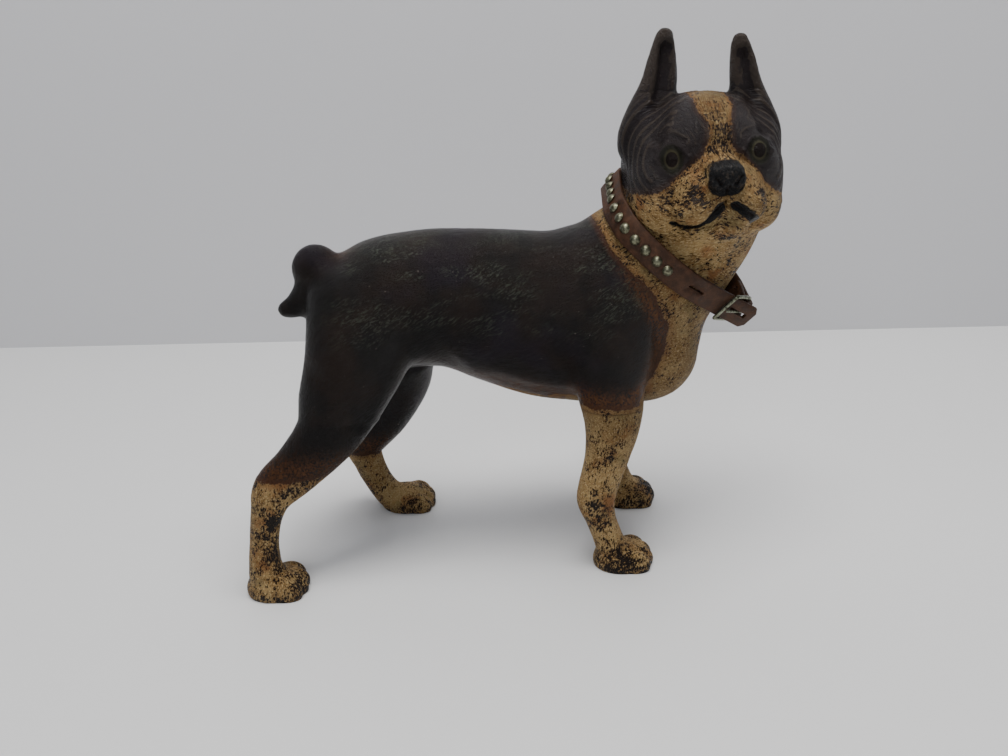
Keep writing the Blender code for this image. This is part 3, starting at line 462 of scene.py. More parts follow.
# Hair strokes: their lean in degrees, where they change, their pitch along, across and through
FLANK_LEAN = 33
LEG_LEAN = 80
LEGS_BELOW = 86
EAR_TIPS_ABOVE = 229
HEAD_GIRTH = 36  # millimetres round the head for a turn of one radian
RING_SQUEEZE = 1.2  # the rings of strokes round an eye are this much taller than wide
RING_SWEEP = 20  # millimetres of stroke for one radian round an eye
STROKE_PITCH = (0.16, 0.62, 0.5)
STROKE_HEIGHT = 0.1
WAVE_PITCH = 0.055  # the casting's unevenness
WAVE_HEIGHT = 0.22
# Wrinkles round the outer side of each eye: half width and half height of each one's curve
WRINKLES = ((10.5, 12.5), (14, 17), (17.5, 21.5), (21.5, 26), (25.5, 30.5))
WRINKLE_MIDDLE = (21, 204)
WRINKLE_ANGLES = range(-62, 83, 16)
WRINKLE_HEIGHT = 0.38
WRINKLE_HALF = 1.3

# Screw on the left side: its place (x, z), its head, and the well that it lies in
SCREW_AT = (-10, 127)
SCREW_HEAD_HEIGHT = 3.2
WELL_RADIUS = 5.1
WELL_SPARE = 0.3
WELL_DEPTH = 20

# Collar: the middle of its plane, and the plane's normal
COLLAR_CENTRE = (84.5, 0, 156)
UP_NECK = (0.604942, -0.275637, 0.747041)


def reading(table, values, column=1):
    """A table's column at each value, between its rows."""
    rows = np.array(table, float)
    return np.interp(values, rows[:, 0], rows[:, column])


def ramp(distance, reach):
    """None up to zero, one from reach on."""
    return np.clip(distance / reach, 0, 1)


def bell(distance, reach):
    """One at zero, fading out over the reach on both sides."""
    return np.exp(-((distance / reach) ** 2))


def round_point(places, place, reach):
    return bell(np.linalg.norm(places - place, axis=1), reach)


def line_distance(points, path):
    """How far each point lies from a line, in the same plane."""
    nearest = np.full(len(points), np.inf)
    line = np.array(path, float)
    for start, end in zip(line, line[1:]):
        run = end - start
        share = np.clip((points - start) @ run / run.dot(run), 0, 1)
        nearest = np.minimum(nearest, np.linalg.norm(points - start - share[:, None] * run, axis=1))
    return nearest


def mesh_arrays(mesh):
    places = np.empty(len(mesh.vertices) * 3)
    mesh.vertices.foreach_get("co", places)
    normals = np.empty(len(mesh.vertices) * 3)
    mesh.vertex_normals.foreach_get("vector", normals)
    return places.reshape(-1, 3) / MM, normals.reshape(-1, 3)


def set_places(mesh, places):
    mesh.vertices.foreach_set("co", (places * MM).ravel())
    mesh.update()


def above_collar(places):
    return (places - COLLAR_CENTRE) @ np.array(UP_NECK)


def round_head(places):
    """Millimetres round the head from the face's middle."""
    return HEAD_GIRTH * np.arctan2(places[:, 0] - HEAD_X, 2.0 - places[:, 1])


def averaged(mesh, places, rounds):
    """The places after so many rounds of moving each halfway to its neighbours' mean."""
    edges = np.empty(len(mesh.edges) * 2, int)
    mesh.edges.foreach_get("vertices", edges)
    edges = edges.reshape(-1, 2)
    count = np.maximum(np.bincount(edges.ravel(), minlength=len(places)), 1)
    soft = places.copy()
    for _ in range(rounds):
        for k in range(3):
            total = np.bincount(edges[:, 0], soft[edges[:, 1], k], len(places))
            total += np.bincount(edges[:, 1], soft[edges[:, 0], k], len(places))
            soft[:, k] = (soft[:, k] + total / count) / 2
    return soft


def cavity(mesh, rounds):
    """How deep each point lies under its neighbours' mean; raised points are negative."""
    places, normals = mesh_arrays(mesh)
    return ((averaged(mesh, places, rounds) - places) * normals).sum(axis=1)


def soften_seams(mesh):
    """Wears the seams between the forms smooth: trunk, creases of the face, ears' roots, paws."""
    places, _ = mesh_arrays(mesh)
    x, y, z = places.T
    head = above_collar(places) > 0
    share = np.where(head, 0.0, ramp(z - 84, 12))
    share = np.maximum(share, 0.5 * ramp(20 - z, 6))
    face = np.stack([np.abs(x - HEAD_X), z], axis=1)
    for path, half_width in SOFT_CREASES:
        share = np.maximum(share, stroke_weights(face, path, half_width) * head * (y < 5))
    for place, reach in EAR_ROOTS:
        share = np.maximum(share, round_point(places, place, reach))
    from_eye = np.hypot(face[:, 0] - EYE_PLACE[0], z - EYE_PLACE[1])
    share *= np.where(head & (y < FACE_BACK), ramp(from_eye - 6.5, 4), 1)
    soft = averaged(mesh, places, SOFT_ROUNDS)
    set_places(mesh, places + (soft - places) * share[:, None])


def turned_face(places, sign):
    """Places across and up on the face after its tilt, or before it where the sign is negative."""
    x, y, z = places.T
    across = x - HEAD_X - FACE_MIDDLE[0]
    over = z - FACE_MIDDLE[1]
    share = ramp(1.05 - np.hypot(across / FACE_REACH[0], over / FACE_REACH[1]), 0.4)
    share = share * ramp(FACE_BACK - y, 8)
    turn = np.radians(FACE_TILT) * share * sign
    across, over = (
        across * np.cos(turn) - over * np.sin(turn),
        across * np.sin(turn) + over * np.cos(turn),
    )
    return np.stack([across + FACE_MIDDLE[0], over + FACE_MIDDLE[1]], axis=1)


def tilt_face(mesh):
    places, _ = mesh_arrays(mesh)
    face = turned_face(places, 1)
    places[:, 0] = face[:, 0] + HEAD_X
    places[:, 2] = face[:, 1]
    set_places(mesh, places)


def stroke_space(places):
    """Where each point lies in the pattern of hair strokes: along, across and through."""
    x, y, z = places.T
    above = above_collar(places)
    spans = []
    for lean in (FLANK_LEAN, LEG_LEAN):
        turn = math.radians(lean)
        spans.append((x * math.cos(turn) + z * math.sin(turn), z * math.cos(turn) - x * math.sin(turn)))
    round_eye = np.abs(round_head(places)) - WRINKLE_MIDDLE[0]
    over_eye = z - WRINKLE_MIDDLE[1]
    ring = np.hypot(round_eye * RING_SQUEEZE, over_eye)
    sweep = np.abs(np.arctan2(over_eye, round_eye * RING_SQUEEZE)) * RING_SWEEP
    on_ear = (above > 0) & (z > EAR_TIPS_ABOVE)
    where = [on_ear, above > 0, z < LEGS_BELOW]
    along = np.select(where, [z, sweep, spans[1][0]], spans[0][0])
    across = np.select(where, [x, ring, spans[1][1]], spans[0][1])
    through = np.where(above > 0, 0.5 * z, y)
    return np.stack([along, across, through], axis=1)


def noise_at(points):
    return np.array([noise.noise(Vector(p)) for p in points])


def work_in_hair(mesh):
    """Wrinkles round the eyes, hair strokes and the casting's unevenness, along the surface's normal."""
    places, normals = mesh_arrays(mesh)
    x, y, z = places.T
    calm = np.hypot(np.abs(x - HEAD_X) - EYE_PLACE[0], z - EYE_PLACE[1]) / 8
    calm = np.minimum(calm, np.hypot(x - HEAD_X - NOSE_MIDDLE[0], z - NOSE_MIDDLE[1]) / 10)
    calm = np.where(y < FACE_BACK, np.clip(calm - 0.6, 0, 1), 1)
    strokes = noise_at(stroke_space(places) * STROKE_PITCH)
    move = strokes * STROKE_HEIGHT * calm + noise_at(places * WAVE_PITCH) * WAVE_HEIGHT * calm
    head = above_collar(places) > 0
    round_face = np.stack([np.abs(round_head(places)), z], axis=1)
    turns = [math.radians(angle) for angle in WRINKLE_ANGLES]
    middle, level = WRINKLE_MIDDLE
    for wide, high in WRINKLES:
        path = [(middle + wide * math.cos(turn), level + high * math.sin(turn)) for turn in turns]
        move += stroke_weights(round_face, path, WRINKLE_HALF) * WRINKLE_HEIGHT * head
    set_places(mesh, places + normals * move[:, None])


def head_cream(places):
    """Distance inside the cream of the head and neck."""
    x, y, z = places.T
    across = x - HEAD_X
    angle = np.degrees(np.arctan2(across, 2.0 - y))
    below = (reading(MASK_EDGE, angle) - z) * 0.8
    left = reading(BLAZE, z, 1)
    right = reading(BLAZE, z, 2)
    ends = np.minimum(z - BLAZE[0][0], BLAZE_END - y)
    blaze = np.minimum(np.minimum(across - left, right - across), ends)
    return np.maximum(below, blaze)


def body_cream(places):
    """Distance inside the cream of the chest, the belly's edge and the legs."""
    x, y, z = places.T
    chest = (x - reading(BODY_EDGE, z)) * 0.8
    chest = np.where(z < 86, OUTSIDE, chest)
    legs = np.where(x > 20, ELBOW_HEIGHT - z, OUTSIDE)
    hocks = np.where(y < 0, NEAR_HOCK_HEIGHT - z, FAR_HOCK_HEIGHT - z)
    legs = np.where(x < -30, hocks, legs)
    belly = np.where((x > -16) & (x < 45), reading(BELLY_EDGE, x) - z, OUTSIDE)
    belly = np.minimum(belly, 4) - np.clip(-8 - x, 0, 10)
    return np.maximum(np.maximum(chest, legs), belly)


def black_lines(places, face, above):
    """Distance inside the black of the nose and mouth."""
    black = np.full(len(places), OUTSIDE)
    for path, half_width in MOUTH_LINES:
        black = np.maximum(black, half_width - line_distance(face, path))
    black = np.where(face[:, 0] < 0, black, np.minimum(black, MOUTH_BACK - places[:, 1]))
    aside = np.abs(face[:, 0] - NOSE_MIDDLE[0]) / NOSE_RADII[0]
    over = np.abs(face[:, 1] - NOSE_MIDDLE[1]) / NOSE_RADII[1]
    nose = (1 - (aside**3 + over**3) ** (1 / 3)) * NOSE_RADII[1]
    black = np.maximum(black, np.minimum(nose, NOSE_BACK - places[:, 1]))
    return np.where((places[:, 1] < -24) & (above > 0), black, OUTSIDE)


def eye_radius(places, face, above):
    """Distance from the middle of the nearer eye, in pupils."""
    aside = np.abs(face[:, 0]) - EYE_PLACE[0]
    over = face[:, 1] - EYE_PLACE[1]
    radius = np.hypot(aside / PUPIL_RADII[0], over / PUPIL_RADII[1])
    return np.where((places[:, 1] < -15) & (above > 0), radius, 9)


def wear(places):
    """How much of the cream paint is chipped away."""
    x, y, z = places.T
    near_hind = 0.05 * (x < -90) * ramp(66 - z, 10)
    paws = 0.32 * bell(z - 1, 8) * (y < 0)
    total = near_hind + paws + 0.35 * bell(z - 1, 5) * (y > 0)
    for place, reach, amount in WEAR:
        total += amount * round_point(places, place, reach)
    return np.clip(total, 0, 1)


def dark_with_age(places, above):
    """How far the cream has darkened: most on the blaze and muzzle, least on the throat."""
    x, z = places[:, 0], places[:, 2]
    on_head = 0.15 * ramp(z - 162, 12)
    on_head += bell(x - HEAD_X, 26) * (0.4 * ramp(z - 178, 8))
    on_head += 0.2 * ramp(z - 202, 10)
    on_body = np.where(x > 20, ramp(z - 50, 30) * 0.6, 0.2)
    on_body = np.where((z > 95) & (x > 40), 0.5, on_body)
    return np.where(above > 0, on_head, on_body)


def rust(places, above):
    """How much the black has worn to rust brown beside the cream."""
    x, y, z = places.T
    edge = np.where(above < 0, x - reading(BODY_EDGE, z), 30)
    band = bell(edge + 4.5, 4.5) * ramp(x - 42, 14) * ramp(160 - z, 20)
    elbow = bell(z - 91, 6.5) * (x > 28) * (x < 66) * (above < 0)
    hocks = np.where(y < 0, NEAR_HOCK_HEIGHT, FAR_HOCK_HEIGHT) - z
    hocks = bell(hocks + 5, 7) * (x < -30)
    belly = bell(reading(BELLY_EDGE, x) - z + 5, 5) * (x > -30) * (x < 45)
    tail = round_point(places, TAIL_FOOT, 7)
    return np.clip(band + 0.8 * elbow + 0.7 * hocks + 0.7 * belly + 0.5 * tail, 0, 1)


def paint_fields(mesh):
    """Distances and amounts that the paint is laid by, one value for each point of the skin."""
    places, _ = mesh_arrays(mesh)
    above = above_collar(places)
    face = turned_face(places, -1)
    cream = np.where(above > 0, head_cream(places), body_cream(places))
    return {
        "cream": np.clip(cream, OUTSIDE, -OUTSIDE),
        "black": black_lines(places, face, above),
        "eye": eye_radius(places, face, above),
        "rust": rust(places, above),
        "wear": wear(places),
        "hollow": cavity(mesh, 6),
        "head": (above > 0) * 1.0,
        "aged": dark_with_age(places, above),
    }


def sink_screw_well(dog):
    """The well on the left side that the screw's head lies in."""
    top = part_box("assembly_screw")[1].y / MM - FIGURE_SHIFT[1] / MM
    seat = top - SCREW_HEAD_HEIGHT - WELL_SPARE
    mesh = bmesh.new()
    size = {"radius1": WELL_RADIUS * MM, "radius2": WELL_RADIUS * MM, "depth": WELL_DEPTH * MM}
    bmesh.ops.create_cone(mesh, cap_ends=True, segments=48, **size)
    place = Vector((SCREW_AT[0], seat + WELL_DEPTH / 2, SCREW_AT[1])) * MM
    mesh.transform(Matrix.Translation(place) @ Matrix.Rotation(math.radians(90), 4, "X"))
    tool = item_from("well", mesh)
    cut = dog.modifiers.new("well", "BOOLEAN")
    cut.operation = "DIFFERENCE"
    cut.solver = "MANIFOLD"
    cut.object = tool
    apply_modifiers(dog)
    bpy.data.objects.remove(tool, do_unlink=True)


def within_castings(mesh):
    """Keeps the skin inside the room that the two castings take."""
    low = np.minimum(*[np.array(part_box(n)[0]) for n in CASTINGS]) - FIGURE_SHIFT
    high = np.maximum(*[np.array(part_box(n)[1]) for n in CASTINGS]) - FIGURE_SHIFT
    places, _ = mesh_arrays(mesh)
    set_places(mesh, np.clip(places, low / MM, high / MM))


def skin_of_dog():
    dog = sculpt()
    dog.name = "painted_casting"
    soften_seams(dog.data)
    tilt_face(dog.data)
    work_in_hair(dog.data)
    within_castings(dog.data)
    sink_screw_well(dog)
    for name, values in paint_fields(dog.data).items():
        field = dog.data.attributes.new(name, "FLOAT", "POINT")
        field.data.foreach_set("value", values.astype(np.float32))
    places, _ = mesh_arrays(dog.data)
    field = dog.data.attributes.new("stroke", "FLOAT_VECTOR", "POINT")
    field.data.foreach_set("vector", stroke_space(places).astype(np.float32).ravel())
    dog.data.shade_smooth()
    dog.data.transform(Matrix.Translation(FIGURE_SHIFT))
    return dog


def welded(node):
    """A solid's mesh with its doubled corner points joined."""
    mesh = bmesh.new()
    mesh.from_mesh(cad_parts[node].data)
    bmesh.ops.remove_doubles(mesh, verts=mesh.verts, dist=0.000002)
    return mesh


def piece_from(name, mesh, bend, levels=0):
    """A piece whose edges are sharp where they bend more than so many degrees."""
    item = item_from(name, mesh)
    if levels:
        finer = item.modifiers.new("finer", "SUBSURF")
        finer.levels = levels
        finer.render_levels = levels
        apply_modifiers(item)
    item.data.shade_smooth()
    item.data.set_sharp_from_angle(angle=math.radians(bend))
    return item


def stand_for(item, node, body, material):
    item.data.materials.clear()
    item.data.materials.append(material)
    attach(item, body)
    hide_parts(node)


def dress_solid(node, name, bend, body, material, levels=0):
    """A finer copy of a solid stands for it, its edges sharp as in piece_from."""
    stand_for(piece_from(name, welded(node), bend, levels), node, body, material)


def axis_of(node):
    """The top of a turned piece and the direction of its axis: its two poles join the most edges."""
    mesh = welded(node)
    middle = sum((v.co for v in mesh.verts), Vector()) / len(mesh.verts)
    poles = sorted(mesh.verts, key=lambda v: -len(v.link_edges))[:2]
    top, foot = sorted((v.co.copy() for v in poles), key=lambda p: (p - middle).length)
    mesh.free()
    return top, (top - foot).normalized()


def lathe(profile, steps):
    """A profile of (radius, height) pairs in millimetres spun about Z."""
    mesh = bmesh.new()
    points = [mesh.verts.new((r * MM, 0, z * MM)) for r, z in profile]
    edges = [mesh.edges.new(pair) for pair in zip(points, points[1:])]
    turn = {"cent": (0, 0, 0), "axis": (0, 0, 1), "angle": 2 * math.pi, "steps": steps}
    bmesh.ops.spin(mesh, geom=points + edges, **turn)
    bmesh.ops.remove_doubles(mesh, verts=mesh.verts, dist=0.00001)
    bmesh.ops.recalc_face_normals(mesh, faces=mesh.faces)
    return mesh


# Outlines of the turned heads, from the top: radius, height
STUD_DOME = (
    (0, 1.9), (0.5, 1.86), (1, 1.72), (1.45, 1.49), (1.82, 1.2), (2.12, 0.86), (2.32, 0.55), (2.42, 0.38),
    (2.5, 0.3), (2.5, 0.1), (2.42, 0.02), (0, 0.02),
)
RIVET_DOME = (
    (0, 1), (0.4, 0.98), (0.8, 0.9), (1.15, 0.77), (1.42, 0.6), (1.58, 0.42), (1.6, 0.3), (1.6, 0.05),
    (0, 0.05),
)


def dress_turned(node, profile, material):
    top, along = axis_of(node)
    mesh = lathe(profile, 32)
    base = top - along * profile[0][1] * MM
    mesh.transform(Matrix.Translation(base) @ along.to_track_quat("Z", "Y").to_matrix().to_4x4())
    stand_for(piece_from(node + "_head", mesh, 50), node, "figure_and_collar", material)


# Colours of the finishes: red, green, blue
THICK_BLACK = (0.005, 0.0042, 0.004)
THIN_BLACK = (0.0125, 0.0075, 0.0055)
# black tinted violet as painted sheen
VIOLET_SHEEN_BLACK = (0.012, 0.0085, 0.0155)
# the head's black lightened as painted sheen
HEAD_SHEEN_BLACK = (0.028, 0.0225, 0.024)
# green of the painted glints on the flank's stroke crests
GREEN_GLINT = (0.046, 0.052, 0.038)
PALE_SPECK = (0.12, 0.1, 0.085)
DEEP_CREAM = (0.25, 0.145, 0.052)
CREAM = (0.4, 0.27, 0.115)
LIGHT_CREAM = (0.54, 0.4, 0.2)
ORANGE_STAIN = (0.23, 0.085, 0.026)
OLIVE_STAIN = (0.2, 0.16, 0.07)
AGED_DEEP = (0.05, 0.027, 0.009)
AGED_LIGHT = (0.12, 0.082, 0.034)
EYE_RIM = (0.013, 0.0125, 0.0085)
IRIS = (0.042, 0.038, 0.021)
PUPIL = (0.01, 0.0055, 0.0045)
DARK_RUST = (0.02, 0.008, 0.004)
BRIGHT_RUST = (0.15, 0.055, 0.014)
EDGE_OCHRE = (0.15, 0.058, 0.018)
CHIP_RIM = (0.105, 0.048, 0.018)
WORN_BROWN = (0.055, 0.021, 0.009)
BARE_IRON = (0.0115, 0.007, 0.005)
NOSE_BLACK = (0.0065, 0.0065, 0.007)
# colour that the hollows are darkened towards
HOLLOW_DARK = (0.016, 0.009, 0.005)
WORN_CREST = (0.062, 0.047, 0.036)
DARK_LEATHER = (0.036, 0.016, 0.008)
LEATHER = (0.078, 0.035, 0.018)
SCUFF = (0.11, 0.068, 0.05)
CRACK = (0.012, 0.007, 0.005)
# Each metal's colour and that of its darker patches
BRASS = ((0.2, 0.2, 0.135), (0.06, 0.055, 0.035))
RIVET_METAL = ((0.16, 0.12, 0.08), (0.05, 0.035, 0.025))
PLATED_STEEL = ((0.26, 0.28, 0.2), (0.07, 0.06, 0.04))
DARK_STEEL = ((0.06, 0.05, 0.045), (0.1, 0.05, 0.03))
# Colours of the stage
TABLE_GREY = (0.69, 0.695, 0.7)
WALL_GREY = (0.62, 0.62, 0.64)
SKY = (0.86, 0.9, 1)
SKY_STRENGTH = 0.18
# Lamps: name, place, point that they face, width and height, watts, colour
LAMPS = (
    ("ceiling light", (0.1, -0.15, 1.35), (0.02, 0, 0), (1, 0.5), 21, (1, 0.98, 0.95)),
    ("front light", (-0.5, -1.5, 1.1), (0, 0.1, 0.15), (0.8, 0.5), 8, (0.95, 0.97, 1)),
)


def group_of(name, vectors, numbers, outputs):
    """A node group that takes vectors and numbers and gives numbers, its wiring and what it takes."""
    tree = bpy.data.node_groups.new(name, "ShaderNodeTree")
    for kind, titles in (("Vector", vectors), ("Float", numbers)):
        for title in titles:
            tree.interface.new_socket(title, in_out="INPUT", socket_type="NodeSocket" + kind)
    for title in outputs:
        tree.interface.new_socket(title, in_out="OUTPUT", socket_type="NodeSocketFloat")
    return tree, Wiring(tree), tree.nodes.new("NodeGroupInput").outputs


class Wiring:
    """Adds nodes to a tree; a value is either a number, a colour or another node's output."""

    def __init__(self, tree):
        self.tree = tree

    def put(self, socket, value):
        if isinstance(value, bpy.types.NodeSocket):
            self.tree.links.new(value, socket)
        elif socket.type == "RGBA":
            socket.default_value = (*value, 1)
        else:
            socket.default_value = value

    def fill(self, made, inputs):
        """Gives a node its inputs, by name or by number."""
        for name, value in inputs.items():
            place = name if isinstance(name, int) else name.replace("_", " ")
            self.put(made.inputs[place], value)
        return made

    def node(self, kind, settings=(), **inputs):
        made = self.tree.nodes.new("ShaderNode" + kind)
        for name, value in dict(settings).items():
            setattr(made, name, value)
        return self.fill(made, inputs)

    def math(self, operation, a, b):
        return self.fill(self.node("Math", {"operation": operation}), {0: a, 1: b}).outputs[0]

    def add(self, a, b):
        return self.math("ADD", a, b)

    def times(self, a, b):
        return self.math("MULTIPLY", a, b)

    def less(self, a, b):
        return self.math("SUBTRACT", a, b)

    def rest(self, a):
        """What a share leaves of one."""
        return self.less(1.0, a)

    def between(self, value, low, high):
        """Zero at low, one at high, eased."""
        eased = {"interpolation_type": "SMOOTHSTEP"}
        return self.node("MapRange", eased, Value=value, From_Min=low, From_Max=high).outputs["Result"]

    def mix(self, share, a, b):
        made = self.node("Mix", {"data_type": "RGBA"})
        return self.fill(made, {0: share, 6: a, 7: b}).outputs[2]

    def blend(self, share, a, b):
        """A number between a and b."""
        return self.fill(self.node("Mix"), {0: share, 2: a, 3: b}).outputs[0]

    def noise(self, place, scale, detail=3, roughness=0.55, distortion=0):
        made = self.node("TexNoise", Vector=place, Scale=scale, Detail=detail, Roughness=roughness)
        return self.fill(made, {"Distortion": distortion}).outputs["Fac"]

    def scaled(self, place, size, turn=(0, 0, 0)):
        turn = [math.radians(a) for a in turn]
        return self.node("Mapping", Vector=place, Rotation=turn, Scale=size).outputs["Vector"]

    def bump(self, strength, distance, height, **below):
        made = self.node("Bump", Strength=strength, Distance=distance, Height=height, **below)
        return made.outputs[0]

    def field(self, name, output="Fac"):
        return self.node("Attribute", {"attribute_name": name}).outputs[output]

    def place(self):
        return self.node("TexCoord").outputs["Object"]

    def use(self, group, **inputs):
        return self.node("Group", {"node_tree": group}, **inputs).outputs

    def give(self, **outputs):
        self.fill(self.tree.nodes.new("NodeGroupOutput"), outputs)

    def surface(self, **inputs):
        self.fill(self.tree.nodes["Principled BSDF"], inputs)


def ragged_edge_group():
    """A paint edge that wanders: distance in millimetres in, share of paint out."""
    tree, w, taken = group_of("ragged paint edge", ["Place"], ["Distance", "Wander", "Blur"], ["Paint"])
    slow = w.less(w.noise(taken["Place"], 160, 2), 0.5)
    quick = w.less(w.noise(taken["Place"], 900, 3), 0.5)
    shift = w.add(w.times(slow, 3), w.times(quick, 2))
    moved = w.add(taken["Distance"], w.times(shift, taken["Wander"]))
    w.give(Paint=w.between(moved, w.times(taken["Blur"], -1), taken["Blur"]))
    return tree


def chips_group():
    """Chips where paint has come off: more and larger ones as Amount rises."""
    tree, w, taken = group_of("paint chips", ["Place", "Stroke"], ["Amount"], ["Bare", "Edge"])
    large = w.noise(taken["Place"], 380, 4, 0.65, 0.6)
    dashes = w.noise(w.scaled(taken["Stroke"], (0.5, 1, 0.9)), 1.3, 3, 0.65, 0.6)
    patchy = w.less(w.noise(taken["Place"], 80, 2), 0.5)
    mask = w.add(w.times(large, 0.4), w.times(dashes, 0.6))
    mask = w.add(mask, w.times(patchy, 0.3))
    limit = w.less(0.665, w.times(taken["Amount"], 0.26))
    bare = w.between(mask, limit, w.add(limit, 0.02))
    edge = w.between(mask, w.less(limit, 0.05), w.add(limit, 0.01))
    w.give(Bare=bare, Edge=edge)
    return tree


def grain_group():
    """The fine grain of a surface, as a height."""
    tree, w, taken = group_of("fine grain", ["Place"], ["Scale", "Coarse"], ["Height"])
    fine = w.noise(taken["Place"], taken["Scale"], 4, 0.6)
    coarse = w.noise(taken["Place"], w.times(taken["Scale"], 0.3), 2)
    w.give(Height=w.add(fine, w.times(coarse, taken["Coarse"])))
    return tree


def hair_group():
    """Engraved strokes of hair, as a height from zero to one, and the share of its crests."""
    tree, w, taken = group_of("hair strokes", ["Stroke"], [], ["Height", "Crest"])
    lines = w.noise(w.scaled(taken["Stroke"], (0.22, 1, 0.8)), 1.25, 3, 0.55, 0.9)
    finer = w.noise(w.scaled(taken["Stroke"], (0.3, 1, 0.9)), 2.6, 2, 0.5, 0.4)
    height = w.add(w.times(lines, 0.65), w.times(finer, 0.35))
    w.give(Height=w.between(height, 0.34, 0.66), Crest=w.between(height, 0.5, 0.6))
    return tree


GROUPS = {}


def shared_groups():
    GROUPS["edge"] = ragged_edge_group()
    GROUPS["chips"] = chips_group()
    GROUPS["grain"] = grain_group()
    GROUPS["hair"] = hair_group()


def new_material(name):
    made = bpy.data.materials.new(name)
    made.use_nodes = True
    return made, Wiring(made.node_tree)


def black_paint(w, place, crest):
    """Black that is brown where it is thin, with violet painted sheen in patches, a lighter black on the
    head as painted sheen, green painted glints on the flank's crests, and specks.
    """
    cloud = w.noise(place, 38, 4, 0.6)
    colour = w.mix(w.between(cloud, 0.38, 0.66), THICK_BLACK, THIN_BLACK)
    # Violet patches of painted sheen
    violet = w.between(w.noise(w.scaled(place, (1, 1, 1), (40, 0, 20)), 26, 2), 0.52, 0.68)
    colour = w.mix(w.times(violet, 0.55), colour, VIOLET_SHEEN_BLACK)
    # The head's black is lighter as painted sheen
    colour = w.mix(w.times(w.field("head"), 0.6), colour, HEAD_SHEEN_BLACK)
    # Painted glints: green on the hair strokes' crests, in bands on the upper flank; worn is the share of
    # painted glint
    band = w.between(w.noise(w.scaled(place, (0.45, 0.6, 1.3)), 55, 2), 0.44, 0.56)
    where = w.node("SeparateXYZ", Vector=place).outputs
    upper = w.times(w.between(where["Z"], 0.112, 0.14), w.between(where["X"], -0.095, -0.07))
    worn = w.times(w.times(band, upper), w.times(crest, w.rest(w.field("head"))))
    colour = w.mix(w.times(worn, 0.7), colour, GREEN_GLINT)
    specks = w.between(w.noise(place, 620, 2), 0.735, 0.765)
    return w.mix(w.times(specks, 0.6), colour, PALE_SPECK)


def cream_paint(w, place, stroke):
    """Cream in two tones with lighter strokes, orange and olive stains, darkened with age."""
    tone = w.between(w.noise(place, 120, 4, 0.6), 0.36, 0.66)
    colour = w.mix(tone, DEEP_CREAM, CREAM)
    light = w.between(w.noise(stroke, 1.4, 3, 0.6), 0.5, 0.62)
    colour = w.mix(w.times(light, 0.8), colour, LIGHT_CREAM)
    orange = w.between(w.noise(place, 75, 3, 0.6), 0.54, 0.7)
    colour = w.mix(w.times(orange, 0.75), colour, ORANGE_STAIN)
    olive = w.between(w.noise(w.scaled(place, (1, 1, 1), (0, 50, 0)), 60, 3, 0.6), 0.56, 0.7)
    colour = w.mix(w.times(olive, 0.6), colour, OLIVE_STAIN)
    darkened = w.mix(light, AGED_DEEP, AGED_LIGHT)
    return w.mix(w.times(w.field("aged"), 0.8), colour, darkened)


def painted_eye(w, colour):
    eye = w.field("eye")
    colour = w.mix(w.rest(w.between(eye, 1.75, 2.25)), colour, EYE_RIM)
    colour = w.mix(w.rest(w.between(eye, 1.2, 1.55)), colour, IRIS)
    return w.mix(w.rest(w.between(eye, 1.0, 1.12)), colour, PUPIL)


def rusted_black(w, place, stroke, crest):
    """The black paint with its rust beside the cream."""
    stain = w.mix(w.noise(place, 420, 4, 0.6), DARK_RUST, BRIGHT_RUST)
    amount = w.times(w.field("rust"), w.between(w.noise(stroke, 0.9, 4, 0.65), 0.34, 0.6))
    return w.mix(amount, black_paint(w, place, crest), stain)


def edged_cream(w, place, stroke, chip_edge):
    """The cream paint, ochre towards the black and brown round its chips."""
    near_edge = w.rest(w.between(w.field("cream"), 0.5, w.add(4.5, w.times(w.field("head"), -2.0))))
    cream = w.mix(w.times(near_edge, 0.45), cream_paint(w, place, stroke), EDGE_OCHRE)
    return w.mix(w.times(chip_edge, 0.8), cream, CHIP_RIM)


def hollows_and_crests(w, colour, cream_share):
    """Darker in the hollows, and the black worn paler on the head's raised lines."""
    darker_in_hollows = w.between(w.field("hollow"), 0.05, 0.3)
    colour = w.mix(w.times(darker_in_hollows, 0.5), colour, HOLLOW_DARK)
    crest = w.between(w.field("hollow"), -0.015, -0.05)
    crest = w.times(crest, w.times(w.field("head"), w.rest(cream_share)))
    crest = w.times(crest, w.between(w.field("eye"), 2.8, 4.2))
    return w.mix(w.times(crest, 0.5), colour, WORN_CREST)


